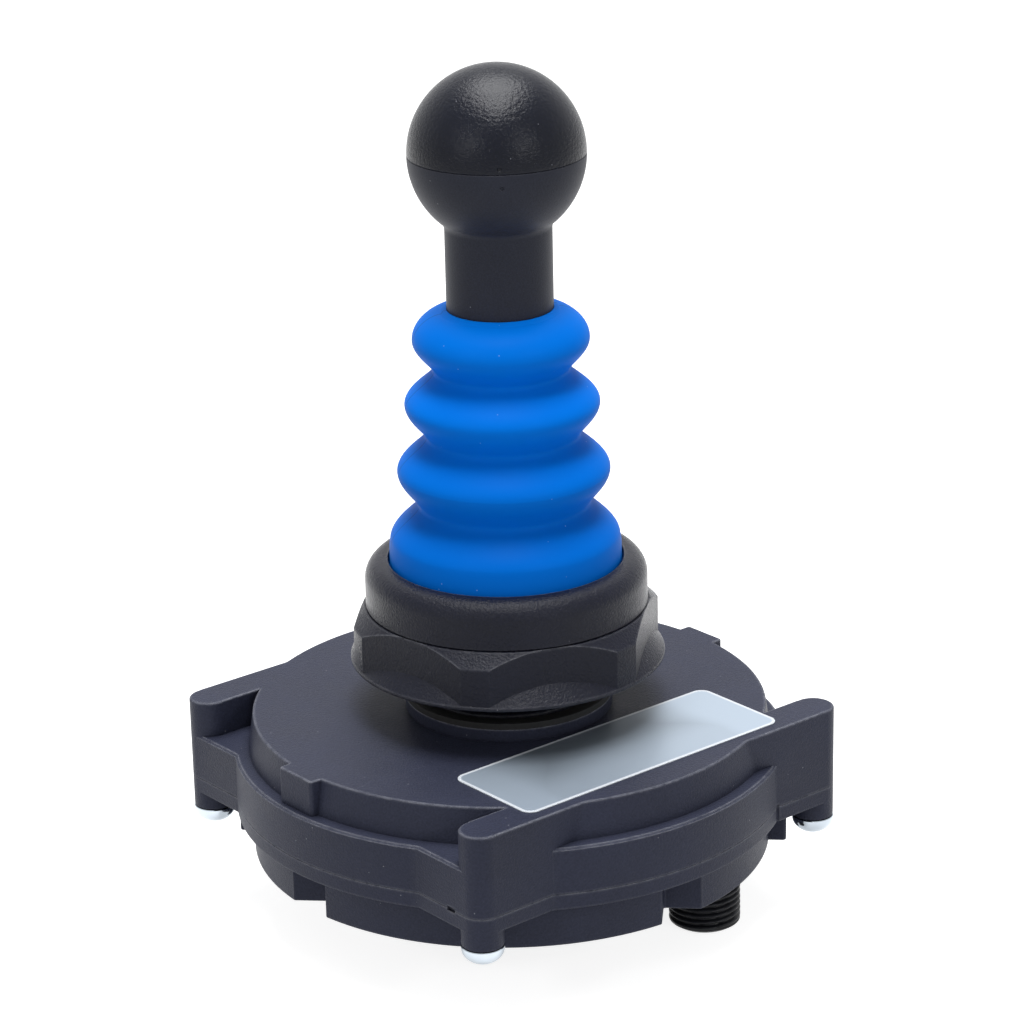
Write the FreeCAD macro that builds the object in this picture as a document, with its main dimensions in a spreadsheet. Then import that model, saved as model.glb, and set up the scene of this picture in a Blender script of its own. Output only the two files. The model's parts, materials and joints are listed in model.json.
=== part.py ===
import FreeCAD, Part
import math
import os
import Sketcher

from FreeCAD import Placement, Rotation, Vector

# Industrial joystick: a spring-centred lever in a gimbal, clamped in a panel by its M30 neck.
# Millimetres. The origin is on the neck's axis, on the seat that the panel rests on; +Z is up.
# X runs along the two bars of the lid, and Y across them.

doc = FreeCAD.newDocument("Joystick")
sheet = doc.addObject("Spreadsheet::Sheet", "Sizes")

DRIVING_SIZES = {
    # Neck and panel clamp
    "neck_radius": 15.0,
    "neck_wall": 2.2,
    "neck_rise": 20.85,
    "neck_flange_radius": 20.0,
    "neck_flange_thickness": 2.5,
    "neck_seal_depth": 1.2,
    "bearing_skin": 0.3,
    "shelf_height": 8.2,
    "shelf_thickness": 1.2,
    "shelf_width": 2.4,
    "collar_height": 3.15,
    "collar_radius": 17.36,
    "gasket_thickness": 1.0,
    "panel_space": 5.85,
    "nut_height": 9.3,
    "nut_flange_radius": 26.2,
    "nut_flange_height": 3.6,
    "nut_across_flats": 47.2,
    "nut_corner_radius": 26.0,
    "nut_chamfer": 2.3,
    "nut_turn": 38.5,
    # Bezel and bellows
    "bezel_radius": 23.43,
    "bezel_height": 8.0,
    "bezel_round": 3.4,
    "bezel_web": 2.0,
    "bezel_lip": 2.1,
    "bezel_wall": 1.9,
    "bellows_foot_radius": 19.2,
    "bellows_clearance": 0.25,
    "bellows_wall": 1.3,
    "bellows_flange": 1.7,
    "lobe_first_height": 26.35,
    "lobe_pitch": 11.9,
    "lobe_pitch_loss": 0.5,
    "lobe_first_radius": 19.04,
    "lobe_last_radius": 14.46,
    "valley_depth": 3.6,
    "bellows_top": 65.75,
    # Knob
    "ball_radius": 14.4,
    "ball_rise": 25.5,
    "stem_radius": 8.7,
    "stem_bottom": 58.5,
    "stem_fillet": 1.6,
    "cap_spigot_radius": 10.0,
    "cap_spigot_depth": 3.0,
    "insert_radius": 6.0,
    "insert_length": 17.0,
    "knob_nut_flats": 13.0,
    "knob_nut_height": 4.0,
    # Lever and gimbal
    "shaft_radius": 4.0,
    "pivot_above_lid": 2.0,
    "pin_radius": 1.5,
    "pin_clearance": 0.05,
    "ring_radius": 12.2,
    "ring_bore": 9.6,
    "ring_half_height": 3.0,
    "hub_radius": 8.9,
    "hub_skirt_wall": 1.3,
    "hub_skirt_drop": 2.0,
    "hub_shoulder": 2.5,
    "hub_neck_radius": 6.5,
    "hub_height": 5.5,
    "spring_wire": 1.2,
    "spring_foot_radius": 11.2,
    "spring_top_radius": 5.2,
    "spring_height": 9.4,
    "spring_turns": 3.5,
    "washer_radius": 6.2,
    "washer_thickness": 1.0,
    "clip_radius": 5.2,
    "clip_thickness": 0.8,
    "clip_groove": 0.5,
    "gate_thickness": 2.0,
    "gate_rim": 0.7,
    "gate_corner": 3.5,
    "tilt_limit": 12.0,
    "gate_clearance": 0.25,
    # Lid
    "ledge_width": 3.3,
    "lid_step": 6.1,
    "rim_radius": 46.3,
    "lid_depth": 14.0,
    "lid_wall": 2.5,
    "side_wall": 2.4,
    "ear_stand_out": 3.9046,
    "ear_radius": 3.4,
    "tab_inset": 1.4,
    "tab_width": 8.5,
    "edge_round": 0.4,
    "corner_round": 3.5,
    # Base
    "flange_thickness": 2.7,
    "flange_overhang": 2.7,
    "base_depth": 10.3,
    "floor_thickness": 2.0,
    "boss_drop": 5.2,
    "notch_face_inset": 15.5,
    "notch_side_inset": 16.4,
    "lug_gap": 0.25,
    "lug_width": 3.0,
    "seal_inset": 3.1,
    "seal_width": 2.0,
    "seal_depth": 1.5,
    # Housing screws
    "screw_radius": 1.5,
    "screw_hole_clearance": 0.2,
    "screw_grip": 9.0,
    "screw_head_radius": 3.5,
    "screw_head_height": 2.4,
    # Switch block
    "carrier_radius": 27.5,
    "carrier_thickness": 3.0,
    "carrier_screw_circle": 24.0,
    "carrier_screw_radius": 1.25,
    "carrier_boss_radius": 3.2,
    "carrier_screw_depth": 3.8,
    "post_circle": 22.0,
    "post_radius": 2.6,
    "plunger_circle": 5.0,
    "plunger_radius": 1.4,
    "plunger_gap": 0.12,
    "plunger_length": 18.9,
    "switch_length": 12.8,
    "switch_width": 5.8,
    "switch_height": 6.5,
    "switch_front": 1.8,
    "switch_bore_depth": 4.5,
    "board_radius": 26.0,
    "board_thickness": 1.6,
    "board_floor_gap": 1.2,
    "board_screw_radius": 1.0,
    "board_screw_length": 5.5,
    # Connector
    "plug_x": 17.1,
    "plug_y": -29.6,
    "plug_radius": 6.0,
    "plug_length": 11.3,
    "plug_inner_radius": 5.0,
    "plug_bore": 4.35,
    "plug_inside": 6.5,
    "socket_depth": 8.0,
    "contact_radius": 0.5,
    "contact_circle": 2.75,
    "contact_tip": 1.5,
    "plug_nut_flats": 12.2,
    "plug_nut_height": 3.0,
    "plug_seal_width": 0.8,
    "lead_radius": 0.8,
    "lead_rise": 7.0,
    "lead_span": 12.0,
    # Label
    "label_length": 54.2,
    "label_width": 18.9,
    "label_thickness": 0.15,
    "label_inset": 15.2,
    "label_corner": 2.0,
}

for row, (name, number) in enumerate(DRIVING_SIZES.items(), start=1):
    sheet.set(f"A{row}", name)
    sheet.set(f"B{row}", str(number))
    sheet.setAlias(f"B{row}", name)
doc.recompute()


class Size:
    """A length that knows its number now and the sheet expression it comes from."""

    def __init__(self, value, text):
        self.value = float(value)
        self.text = text

    def __add__(self, other):
        other = as_size(other)
        return Size(self.value + other.value, f"({self.text} + {other.text})")

    def __radd__(self, other):
        return as_size(other) + self

    def __sub__(self, other):
        other = as_size(other)
        return Size(self.value - other.value, f"({self.text} - {other.text})")

    def __rsub__(self, other):
        return as_size(other) - self

    def __mul__(self, other):
        other = as_size(other)
        return Size(self.value * other.value, f"({self.text} * {other.text})")

    def __rmul__(self, other):
        return as_size(other) * self

    def __truediv__(self, other):
        other = as_size(other)
        return Size(self.value / other.value, f"({self.text} / {other.text})")

    def __neg__(self):
        return Size(-self.value, f"(0 - {self.text})")


def as_size(number):
    return number if isinstance(number, Size) else Size(number, repr(float(number)))


def size(name):
    return Size(getattr(sheet, name), f"Sizes.{name}")


def cosine(degrees):
    degrees = as_size(degrees)
    return Size(math.cos(math.radians(degrees.value)), f"cos({degrees.text})")


def sine(degrees):
    degrees = as_size(degrees)
    return Size(math.sin(math.radians(degrees.value)), f"sin({degrees.text})")


def root(number):
    return Size(math.sqrt(number.value), f"sqrt({number.text})")


def bind(thing, path, number):
    thing.setExpression(path, as_size(number).text)


# Sketches and features of a body

def new_body(label):
    body = doc.addObject("PartDesign::Body", label)
    body.Label = label
    return body


def new_sketch(body, name, height=0, plane="XY_Plane"):
    sketch = body.newObject("Sketcher::SketchObject", f"{body.Name}_{name}")
    support = [item for item in body.Origin.OriginFeatures if item.Role == plane][0]
    sketch.AttachmentSupport = [(support, "")]
    sketch.MapMode = "FlatFace"
    height = as_size(height)
    sketch.AttachmentOffset = Placement(Vector(0, 0, height.value), Rotation())
    bind(sketch, "AttachmentOffset.Base.z", height)
    return sketch


def constrain(sketch, kind, element, point, number, label):
    number = as_size(number)
    if number.value == 0 and kind != "Radius":
        axis = -2 if kind == "DistanceX" else -1
        sketch.addConstraint(Sketcher.Constraint("PointOnObject", element, point, axis))
        return
    if kind == "Radius":
        index = sketch.addConstraint(Sketcher.Constraint(kind, element, number.value))
    else:
        index = sketch.addConstraint(Sketcher.Constraint(kind, -1, 1, element, point, number.value))
    sketch.renameConstraint(index, label)
    bind(sketch, f"Constraints.{label}", number)


def polygon(sketch, points):
    """A closed outline whose every corner is placed from the origin."""
    first = sketch.GeometryCount
    corners = [(as_size(x), as_size(y)) for x, y in points]
    count = len(corners)
    for index in range(count):
        start = corners[index]
        end = corners[(index + 1) % count]
        start_point = Vector(start[0].value, start[1].value, 0)
        end_point = Vector(end[0].value, end[1].value, 0)
        sketch.addGeometry(Part.LineSegment(start_point, end_point), False)
    for index in range(count):
        joined = Sketcher.Constraint("Coincident", first + index, 2, first + (index + 1) % count, 1)
        sketch.addConstraint(joined)
    for index, (x, y) in enumerate(corners):
        constrain(sketch, "DistanceX", first + index, 1, x, f"x_{first + index}")
        constrain(sketch, "DistanceY", first + index, 1, y, f"y_{first + index}")


def circle(sketch, radius, x=0, y=0):
    radius, x, y = as_size(radius), as_size(x), as_size(y)
    centre = Vector(x.value, y.value, 0)
    index = sketch.addGeometry(Part.Circle(centre, Vector(0, 0, 1), radius.value), False)
    constrain(sketch, "DistanceX", index, 3, x, f"cx_{index}")
    constrain(sketch, "DistanceY", index, 3, y, f"cy_{index}")
    constrain(sketch, "Radius", index, 3, radius, f"r_{index}")


def feature(body, kind, sketch, name, length, flip=False, both=False):
    made = body.newObject(f"PartDesign::{kind}", f"{body.Name}_{name}")
    made.Profile = sketch
    made.Length = as_size(length).value
    bind(made, "Length", length)
    made.Reversed = flip
    made.Midplane = both
    return made


def pad(body, sketch, name, length, flip=False):
    return feature(body, "Pad", sketch, name, length, flip)


def pocket(body, sketch, name, length, flip=False, both=False):
    """Cuts down from the sketch's plane, or up from it with flip; both cuts half each way."""
    return feature(body, "Pocket", sketch, name, length, flip, both)


def turned(body, name, points):
    """A body of revolution about Z from a half section of (radius, height) corners."""
    sketch = new_sketch(body, f"{name}_section", plane="XZ_Plane")
    polygon(sketch, points)
    made = body.newObject("PartDesign::Revolution", f"{body.Name}_{name}")
    made.Profile = sketch
    made.ReferenceAxis = (sketch, ["V_Axis"])
    made.Angle = 360.0
    return made


def around(body, items, count, name):
    pattern = body.newObject("PartDesign::PolarPattern", f"{body.Name}_{name}")
    pattern.Originals = items
    pattern.Axis = ([item for item in body.Origin.OriginFeatures if item.Role == "Z_Axis"][0], [""])
    pattern.Angle = 360.0
    pattern.Occurrences = count
    body.Tip = pattern
    return pattern


def edges_where(shape, wanted):
    return [f"Edge{index}" for index, edge in enumerate(shape.Edges, start=1) if wanted(edge)]


def rounded(body, name, radius, wanted):
    """Rounds the edges of the body's last feature that wanted() picks."""
    doc.recompute()
    base = body.Tip
    names = edges_where(base.Shape, wanted)
    fillet = body.newObject("PartDesign::Fillet", f"{body.Name}_{name}")
    fillet.Base = (base, names)
    fillet.Radius = as_size(radius).value
    bind(fillet, "Radius", radius)
    return fillet


def near(first, second, slack=0.01):
    return abs(first - second) < slack


def circle_edge(radius, height):
    def wanted(edge):
        curve = edge.Curve
        round_edge = isinstance(curve, Part.Circle) and near(curve.Radius, as_size(radius).value)
        return round_edge and near(edge.BoundBox.ZMin, as_size(height).value) and edge.BoundBox.ZLength < 0.01
    return wanted


# Loose solids: primitives bound to the sheet, and shapes that no feature makes well

def cylinder(name, radius, length, x=0, y=0, z=0, axis=Vector(0, 0, 1)):
    solid = doc.addObject("Part::Cylinder", name)
    bind(solid, "Radius", radius)
    bind(solid, "Height", length)
    place = [as_size(x), as_size(y), as_size(z)]
    turn = Rotation(Vector(0, 0, 1), axis)
    solid.Placement = Placement(Vector(*[item.value for item in place]), turn)
    for letter, item in zip("xyz", place):
        bind(solid, f"Placement.Base.{letter}", item)
    return solid


def joined(label, kind, first, *others):
    """Part booleans: Fuse, Cut or Common of the first solid with each of the others."""
    for index, other in enumerate(others, start=1):
        result = doc.addObject(f"Part::{kind}", f"{label}_{kind.lower()}_{index}")
        result.Base = first
        result.Tool = other
        first = result
    return first


def node(label, thing):
    thing.Label = label
    nodes[label] = thing
    return thing


def repeated(label, original, points):
    """One node of loose copies of an original, each moved to its point in plan."""
    copies = []
    for index, (x, y) in enumerate(points):
        copy = doc.addObject("App::Link", f"{label}_{index}")
        copy.LinkedObject = original
        copy.Placement = Placement(Vector(x.value, y.value, 0), Rotation())
        bind(copy, "Placement.Base.x", x)
        bind(copy, "Placement.Base.y", y)
        copies.append(copy)
    together = doc.addObject("Part::Compound", label)
    together.Links = copies
    return node(label, together)


def free_shape(label, shape):
    thing = doc.addObject("Part::Feature", label)
    thing.Shape = shape
    return node(label, thing)


nodes = {}

# Levels, from the panel's seat at zero
lid_top = -size("collar_height")
lid_under = lid_top - size("lid_wall")
step_level = lid_top - size("lid_step")
parting = lid_top - size("lid_depth")
flange_under = parting - size("flange_thickness")
base_bottom = parting - size("base_depth")
floor_top = base_bottom + size("floor_thickness")
boss_bottom = parting - size("boss_drop")
pivot = lid_top + size("pivot_above_lid")
neck_foot = lid_under - size("neck_flange_thickness")
neck_bore = size("neck_radius") - size("neck_wall")
shelf_under = lid_top + size("shelf_height")
shelf_top = shelf_under + size("shelf_thickness")
neck_top = size("neck_rise")
carrier_top = neck_foot
carrier_under = carrier_top - size("carrier_thickness")
board_under = floor_top + size("board_floor_gap")
board_top = board_under + size("board_thickness")
switch_top = board_top + size("switch_height")
nut_under = size("panel_space")
nut_top = nut_under + size("nut_height")
bezel_top = nut_top + size("bezel_height")
lid_radius = size("rim_radius") - size("ledge_width")
drum_radius = size("rim_radius") - size("flange_overhang")
seal_middle = size("rim_radius") - size("seal_inset")
notch_face = drum_radius - size("notch_face_inset")
notch_side = drum_radius - size("notch_side_inset")
label_middle = size("label_inset") - lid_radius
half_root = 1 / math.sqrt(2)
ear_offset = (size("rim_radius") + size("ear_stand_out")) * half_root
ball_middle = size("bellows_top") + size("ball_rise")


# Housing

def ear_points():
    offset = ear_offset
    return [(offset, offset), (-offset, offset), (-offset, -offset), (offset, -offset)]


def screw_bosses(body, name, level, length, flip=False):
    sketch = new_sketch(body, f"{name}_outline", level)
    for x, y in ear_points():
        circle(sketch, size("ear_radius"), x, y)
    return pad(body, sketch, name, length, flip)


def ear_wedge(body, name, level, length):
    """The web between a boss and the rim: its sides are tangent to both circles."""
    distance = ear_offset * math.sqrt(2)
    ratio = (size("rim_radius") - size("ear_radius")) / distance
    spread = Size(math.degrees(math.acos(ratio.value)), f"acos({ratio.text})")
    corners = []
    for side in (-1, 1):
        angle = Size(45 + side * spread.value, f"(45 deg + {side} * {spread.text})")
        rim_x, rim_y = size("rim_radius") * cosine(angle), size("rim_radius") * sine(angle)
        ear_x = ear_offset + size("ear_radius") * cosine(angle)
        ear_y = ear_offset + size("ear_radius") * sine(angle)
        corners.append([(rim_x, rim_y), (ear_x, ear_y)])
    sketch = new_sketch(body, f"{name}_outline", level)
    polygon(sketch, [corners[0][0], corners[0][1], corners[1][1], corners[1][0]])
    wedge = pad(body, sketch, name, length)
    return around(body, [wedge], 4, f"{name}s")


def make_upper_housing():
    body = new_body("upper_housing")
    rim = new_sketch(body, "rim_outline", parting)
    circle(rim, size("rim_radius"))
    pad(body, rim, "rim", size("lid_depth") - size("lid_step"))
    ear_wedge(body, "wedge", parting, size("lid_depth") - size("lid_step"))
    crown = new_sketch(body, "crown_outline", step_level)
    circle(crown, lid_radius)
    pad(body, crown, "crown", size("lid_step"))
    bars = new_sketch(body, "bar_outline", parting)
    offset, half = ear_offset, size("ear_radius")
    for side in (-1, 1):
        low, high = side * offset - half, side * offset + half
        polygon(bars, [(-offset, low), (offset, low), (offset, high), (-offset, high)])
    pad(body, bars, "bars", size("lid_depth"))
    screw_bosses(body, "bosses", parting, size("lid_depth"))
    # Where a bar leaves the crown, the corner is rounded from the step up
    doc.recompute()
    bar_edge = (offset + half).value
    rounded(body, "bar_corners", size("corner_round"), lambda edge: (
        near(abs(edge.BoundBox.YMin), bar_edge) and edge.BoundBox.ZLength > 1
        and edge.BoundBox.XLength < 0.01 and edge.BoundBox.YLength < 0.01
        and near(math.hypot(edge.BoundBox.XMin, edge.BoundBox.YMin), lid_radius.value)
        and near(edge.BoundBox.ZMax, lid_top.value)))
    tabs = new_sketch(body, "tab_outline", step_level)
    reach, width = size("rim_radius") - size("tab_inset"), size("tab_width")
    inside = lid_radius - size("side_wall")
    for side in (-1, 1):
        polygon(tabs, [(side * inside, -width / 2), (side * reach, -width / 2),
                       (side * reach, width / 2), (side * inside, width / 2)])
    pad(body, tabs, "tabs", size("lid_step"))
    collar = new_sketch(body, "collar_outline", lid_top)
    circle(collar, size("collar_radius"))
    pad(body, collar, "collar", size("collar_height") - size("gasket_thickness"))
    cavity = new_sketch(body, "cavity_outline", parting)
    circle(cavity, lid_radius - size("side_wall"))
    pocket(body, cavity, "cavity", size("lid_depth") - size("lid_wall"), flip=True)
    bosses = new_sketch(body, "inner_boss_outline", carrier_top)
    for x, y in carrier_screw_points():
        circle(bosses, size("carrier_boss_radius"), x, y)
    pad(body, bosses, "inner_bosses", lid_under - carrier_top)
    hole = new_sketch(body, "neck_hole_outline", lid_under)
    circle(hole, size("neck_radius"))
    pocket(body, hole, "neck_hole", size("lid_wall") + size("collar_height"), flip=True)
    pilots = new_sketch(body, "pilot_outline", parting)
    for x, y in ear_points():
        circle(pilots, size("screw_radius"), x, y)
    pocket(body, pilots, "screw_pilots", size("screw_grip"), flip=True)
    inner_pilots = new_sketch(body, "inner_pilot_outline", carrier_top)
    for x, y in carrier_screw_points():
        circle(inner_pilots, size("carrier_screw_radius"), x, y)
    pocket(body, inner_pilots, "inner_pilots", size("carrier_screw_depth"), flip=True)
    node("upper_housing", body)


def make_lower_housing():
    body = new_body("lower_housing")
    flange = new_sketch(body, "flange_outline", flange_under)
    circle(flange, size("rim_radius"))
    pad(body, flange, "flange", size("flange_thickness"))
    ear_wedge(body, "wedge", flange_under, size("flange_thickness"))
    screw_bosses(body, "bosses", boss_bottom, size("boss_drop"))
    drum = new_sketch(body, "drum_outline", base_bottom)
    circle(drum, drum_radius)
    pad(body, drum, "drum", size("base_depth") - size("flange_thickness"))
    # The drum steps back in four corners beside the front and rear ears
    notches = new_sketch(body, "notch_outline", base_bottom)
    face, side, beyond = notch_face, notch_side, drum_radius + 1
    for u_sign in (-1, 1):
        for v_sign in (-1, 1):
            corners = [(face, side), (beyond, side), (beyond, beyond), (face, beyond)]
            spun = [diagonal(u_sign * u, v_sign * v) for u, v in corners]
            polygon(notches, spun)
    pocket(body, notches, "notches", size("base_depth") - size("flange_thickness"), flip=True)
    lugs = new_sketch(body, "lug_outline", base_bottom)
    inner, half = drum_radius - size("side_wall"), size("lug_width") / 2
    outer = ear_offset * math.sqrt(2) - size("screw_head_radius") - size("lug_gap")
    for side_sign in (-1, 1):
        for turn in (diagonal, other_diagonal):
            corners = [(inner, -half), (outer, -half), (outer, half), (inner, half)]
            polygon(lugs, [turn(side_sign * u, v) for u, v in corners])
    pad(body, lugs, "lugs", size("base_depth") - size("flange_thickness"))
    cavity = new_sketch(body, "cavity_outline", floor_top)
    notch_corner = root(notch_face * notch_face + notch_side * notch_side)
    circle(cavity, notch_corner - size("side_wall"))
    pocket(body, cavity, "cavity", size("base_depth") - size("floor_thickness"), flip=True)
    room = new_sketch(body, "plug_room_outline", floor_top)
    circle(room, size("plug_nut_flats") / math.sqrt(3) + 0.3, size("plug_x"), size("plug_y"))
    pocket(body, room, "plug_room", size("base_depth") - size("floor_thickness"), flip=True)
    groove = new_sketch(body, "seal_groove_outline", parting)
    circle(groove, seal_middle + size("seal_width") / 2)
    circle(groove, seal_middle - size("seal_width") / 2)
    pocket(body, groove, "seal_groove", size("seal_depth"))
    holes = new_sketch(body, "screw_hole_outline", parting)
    for x, y in ear_points():
        circle(holes, size("screw_radius") + size("screw_hole_clearance"), x, y)
    pocket(body, holes, "screw_holes", size("boss_drop"))
    plug_hole = new_sketch(body, "plug_hole_outline", floor_top)
    circle(plug_hole, size("plug_inner_radius"), size("plug_x"), size("plug_y"))
    pocket(body, plug_hole, "plug_hole", size("floor_thickness"))
    seat = new_sketch(body, "plug_seal_outline", base_bottom)
    seal_outer = size("plug_inner_radius") + size("plug_seal_width")
    circle(seat, seal_outer, size("plug_x"), size("plug_y"))
    pocket(body, seat, "plug_seal_seat", size("plug_seal_width"), flip=True)
    node("lower_housing", body)


def diagonal(u, v):
    """From the frame whose first axis points at an ear to X and Y."""
    return (u - v) * half_root, (u + v) * half_root


def other_diagonal(u, v):
    return (u + v) * half_root, (v - u) * half_root


def carrier_screw_points():
    reach = size("carrier_screw_circle") * half_root
    return [(reach, reach), (-reach, reach), (-reach, -reach), (reach, -reach)]


def make_seals():
    housing = new_body("housing_seal")
    inner = seal_middle - size("seal_width") / 2
    outer = seal_middle + size("seal_width") / 2
    low = parting - size("seal_depth")
    turned(housing, "ring", [(inner, low), (outer, low), (outer, parting), (inner, parting)])
    node("housing_seal", housing)

    gasket = new_body("panel_gasket")
    bottom = -size("gasket_thickness")
    edge = size("collar_radius")
    bore = size("neck_radius")
    turned(gasket, "ring", [(bore, bottom), (edge, bottom), (edge, 0), (bore, 0)])
    node("panel_gasket", gasket)


def make_housing_screws():
    body = new_body("housing_screw_form")
    height, shank, head = size("screw_head_height"), size("screw_radius"), size("screw_head_radius")
    bottom, top = boss_bottom - height, parting + size("screw_grip") - 0.5
    turned(body, "screw", [(0, bottom), (head * 0.55, bottom), (head * 0.9, bottom + height * 0.4),
                           (head, boss_bottom - 0.4), (head, boss_bottom),
                           (shank, boss_bottom), (shank, top), (0, top)])
    repeated("housing_screws", body, ear_points())


# Neck and panel clamp

def make_neck():
    body = new_body("threaded_neck")
    outer, bore = size("neck_radius"), neck_bore
    flange, shelf = size("neck_flange_radius"), neck_bore - size("shelf_width")
    gate_seat, gate_radius = neck_top - size("gate_thickness"), neck_bore + size("gate_rim")
    seal_outer, seal_inner = flange - 1, outer + 1.5
    seal_floor = lid_under - size("neck_seal_depth")
    turned(body, "neck", [(bore, neck_foot), (flange, neck_foot), (flange, lid_under),
                          (seal_outer, lid_under), (seal_outer, seal_floor), (seal_inner, seal_floor),
                          (seal_inner, lid_under), (outer, lid_under), (outer, neck_top),
                          (gate_radius, neck_top), (gate_radius, gate_seat), (bore, gate_seat),
                          (bore, shelf_top), (shelf, shelf_top), (shelf, shelf_under), (bore, shelf_under)])
    # Two blind bearing holes along X take the outer gimbal's pins
    holes = new_sketch(body, "bearing_outline", plane="YZ_Plane")
    circle(holes, size("pin_radius") + size("pin_clearance"), 0, pivot)
    pocket(body, holes, "bearings", (outer - size("bearing_skin")) * 2, both=True)
    node("threaded_neck", body)

    seal = new_body("neck_seal")
    turned(seal, "ring", [(seal_inner, seal_floor), (seal_outer, seal_floor),
                          (seal_outer, lid_under), (seal_inner, lid_under)])
    node("neck_seal", seal)


def hexagon(sketch, across_flats, turn=0):
    corners = []
    for index in range(6):
        angle = as_size(turn) + 60 * index
        corners.append((across_flats / math.sqrt(3) * cosine(angle), across_flats / math.sqrt(3) * sine(angle)))
    polygon(sketch, corners)


def make_mounting_nut():
    """A cone flange below a hexagon whose corners are turned down and bevelled on top."""
    hexed = new_body("nut_hexagon")
    outline = new_sketch(hexed, "outline", nut_under)
    hexagon(outline, size("nut_across_flats"), size("nut_turn"))
    pad(hexed, outline, "prism", size("nut_height"))

    corner, bevel = size("nut_corner_radius"), size("nut_chamfer")
    envelope = new_body("nut_envelope")
    turned(envelope, "limit", [(0, nut_under), (corner, nut_under), (corner, nut_top - bevel),
                               (corner - bevel, nut_top), (0, nut_top)])

    flange = new_body("nut_flange")
    low, high = size("nut_flange_radius"), size("nut_across_flats") / 2 - 0.3
    turned(flange, "cone", [(0, nut_under), (low, nut_under), (low, nut_under + 0.5),
                            (high, nut_under + size("nut_flange_height")),
                            (0, nut_under + size("nut_flange_height"))])
    thread = cylinder("nut_thread", size("neck_radius"), size("nut_height"), z=nut_under)
    trimmed = joined("nut_trimmed", "Common", hexed, envelope)
    whole = joined("nut_whole", "Fuse", trimmed, flange)
    node("mounting_nut", joined("nut_bored", "Cut", whole, thread))


def make_bezel():
    body = new_body("bezel_ring")
    outer, inner = size("bezel_radius"), size("neck_radius")
    pocket_radius = outer - size("bezel_wall")
    mouth = size("bellows_foot_radius") + size("bellows_clearance")
    web_top, lip_under = nut_top + size("bezel_web"), bezel_top - size("bezel_lip")
    turned(body, "ring", [(inner, nut_top), (outer, nut_top), (outer, bezel_top), (mouth, bezel_top),
                          (mouth, lip_under), (pocket_radius, lip_under), (pocket_radius, web_top),
                          (inner, web_top)])
    rounded(body, "shoulder", size("bezel_round"), circle_edge(outer, bezel_top))
    node("bezel_ring", body)


def lobe_height(index):
    fade = index * (index - 1) / 2
    return size("lobe_first_height") + index * size("lobe_pitch") - fade * size("lobe_pitch_loss")


def bow(low, middle, high, steps):
    """Points along the arc through three points, which the outline joins with short straight runs."""
    curve = Part.Arc(low, middle, high)
    first, last = curve.FirstParameter, curve.LastParameter
    return [curve.value(first + (last - first) * step / steps) for step in range(steps + 1)]


def bellows_side(inset, lobe_steps, valley_steps):
    """The bellows' side from its foot to its top, moved in by inset: four lobes and the valleys between."""
    count = 4
    radii, heights = [], []
    for index in range(count):
        share = index / (count - 1)
        radius = size("lobe_first_radius") * (1 - share) + size("lobe_last_radius") * share
        radii.append(radius.value - inset)
        heights.append(lobe_height(index).value)
    valleys = []
    for index in range(count - 1):
        radius = (radii[index] + radii[index + 1]) / 2 - size("valley_depth").value
        valleys.append((radius, (heights[index] + heights[index + 1]) / 2 + 0.3))
    lip = size("stem_radius").value + 1.0 - inset * 0.5
    low = Vector(size("bellows_foot_radius").value - inset, 0, heights[0] - 1.0)
    points = []
    for index in range(count):
        if index < count - 1:
            high = Vector(valleys[index][0] + 0.3, 0, valleys[index][1] - 0.5)
        else:
            high = Vector(lip, 0, size("bellows_top").value - 0.8 - inset)
        middle = Vector(radii[index], 0, heights[index])
        if index == 0:
            middle = Vector(radii[0] - 1.1, 0, heights[0] + 2.9)
        points += bow(low, middle, high, lobe_steps)
        if index < count - 1:
            low = Vector(high.x, 0, high.z + 1.0)
            points += bow(high, Vector(valleys[index][0], 0, valleys[index][1]), low, valley_steps)[1:-1]
    return points


def make_bellows():
    web_top, lip_under = (nut_top + size("bezel_web")).value, (bezel_top - size("bezel_lip")).value
    bead = (size("bezel_radius") - size("bezel_wall")).value
    foot, wall = size("bellows_foot_radius").value, size("bellows_wall").value
    grip = (size("stem_radius") + 0.05).value
    top = size("bellows_top").value
    outside = bellows_side(0, 8, 2)
    inside = bellows_side(wall, 4, 1)
    bead_corners = [Vector(foot - wall, 0, web_top), Vector(bead, 0, web_top),
                    Vector(bead, 0, lip_under), Vector(foot, 0, lip_under)]
    mouth = [Vector(outside[-1].x - 0.4, 0, top), Vector(grip, 0, top), Vector(grip, 0, inside[-1].z)]
    corners = bead_corners + outside + mouth + inside[::-1]
    outline = Part.makePolygon(corners + corners[:1])
    free_shape("bellows", Part.Face(outline).revolve(Vector(0, 0, 0), Vector(0, 0, 1), 360))


def make_gate_plate():
    body = new_body("gate_plate")
    level = neck_top - size("gate_thickness")
    disc = new_sketch(body, "disc_outline", level)
    circle(disc, neck_bore + size("gate_rim"))
    pad(body, disc, "disc", size("gate_thickness"))
    tilt = size("tilt_limit")
    lean = sine(tilt) / (cosine(tilt) * cosine(tilt))
    half = (neck_top - pivot) * lean + size("shaft_radius") / cosine(tilt) + size("gate_clearance")
    window = new_sketch(body, "window_outline", level)
    polygon(window, [(-half, -half), (half, -half), (half, half), (-half, half)])
    pocket(body, window, "window", size("gate_thickness"), flip=True)
    rounded(body, "window_corners", size("gate_corner"), lambda edge: (
        near(abs(edge.BoundBox.XMin), half.value) and near(abs(edge.BoundBox.YMin), half.value)
        and edge.BoundBox.ZLength > 1))
    node("gate_plate", body)


# Gimbal and lever

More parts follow.
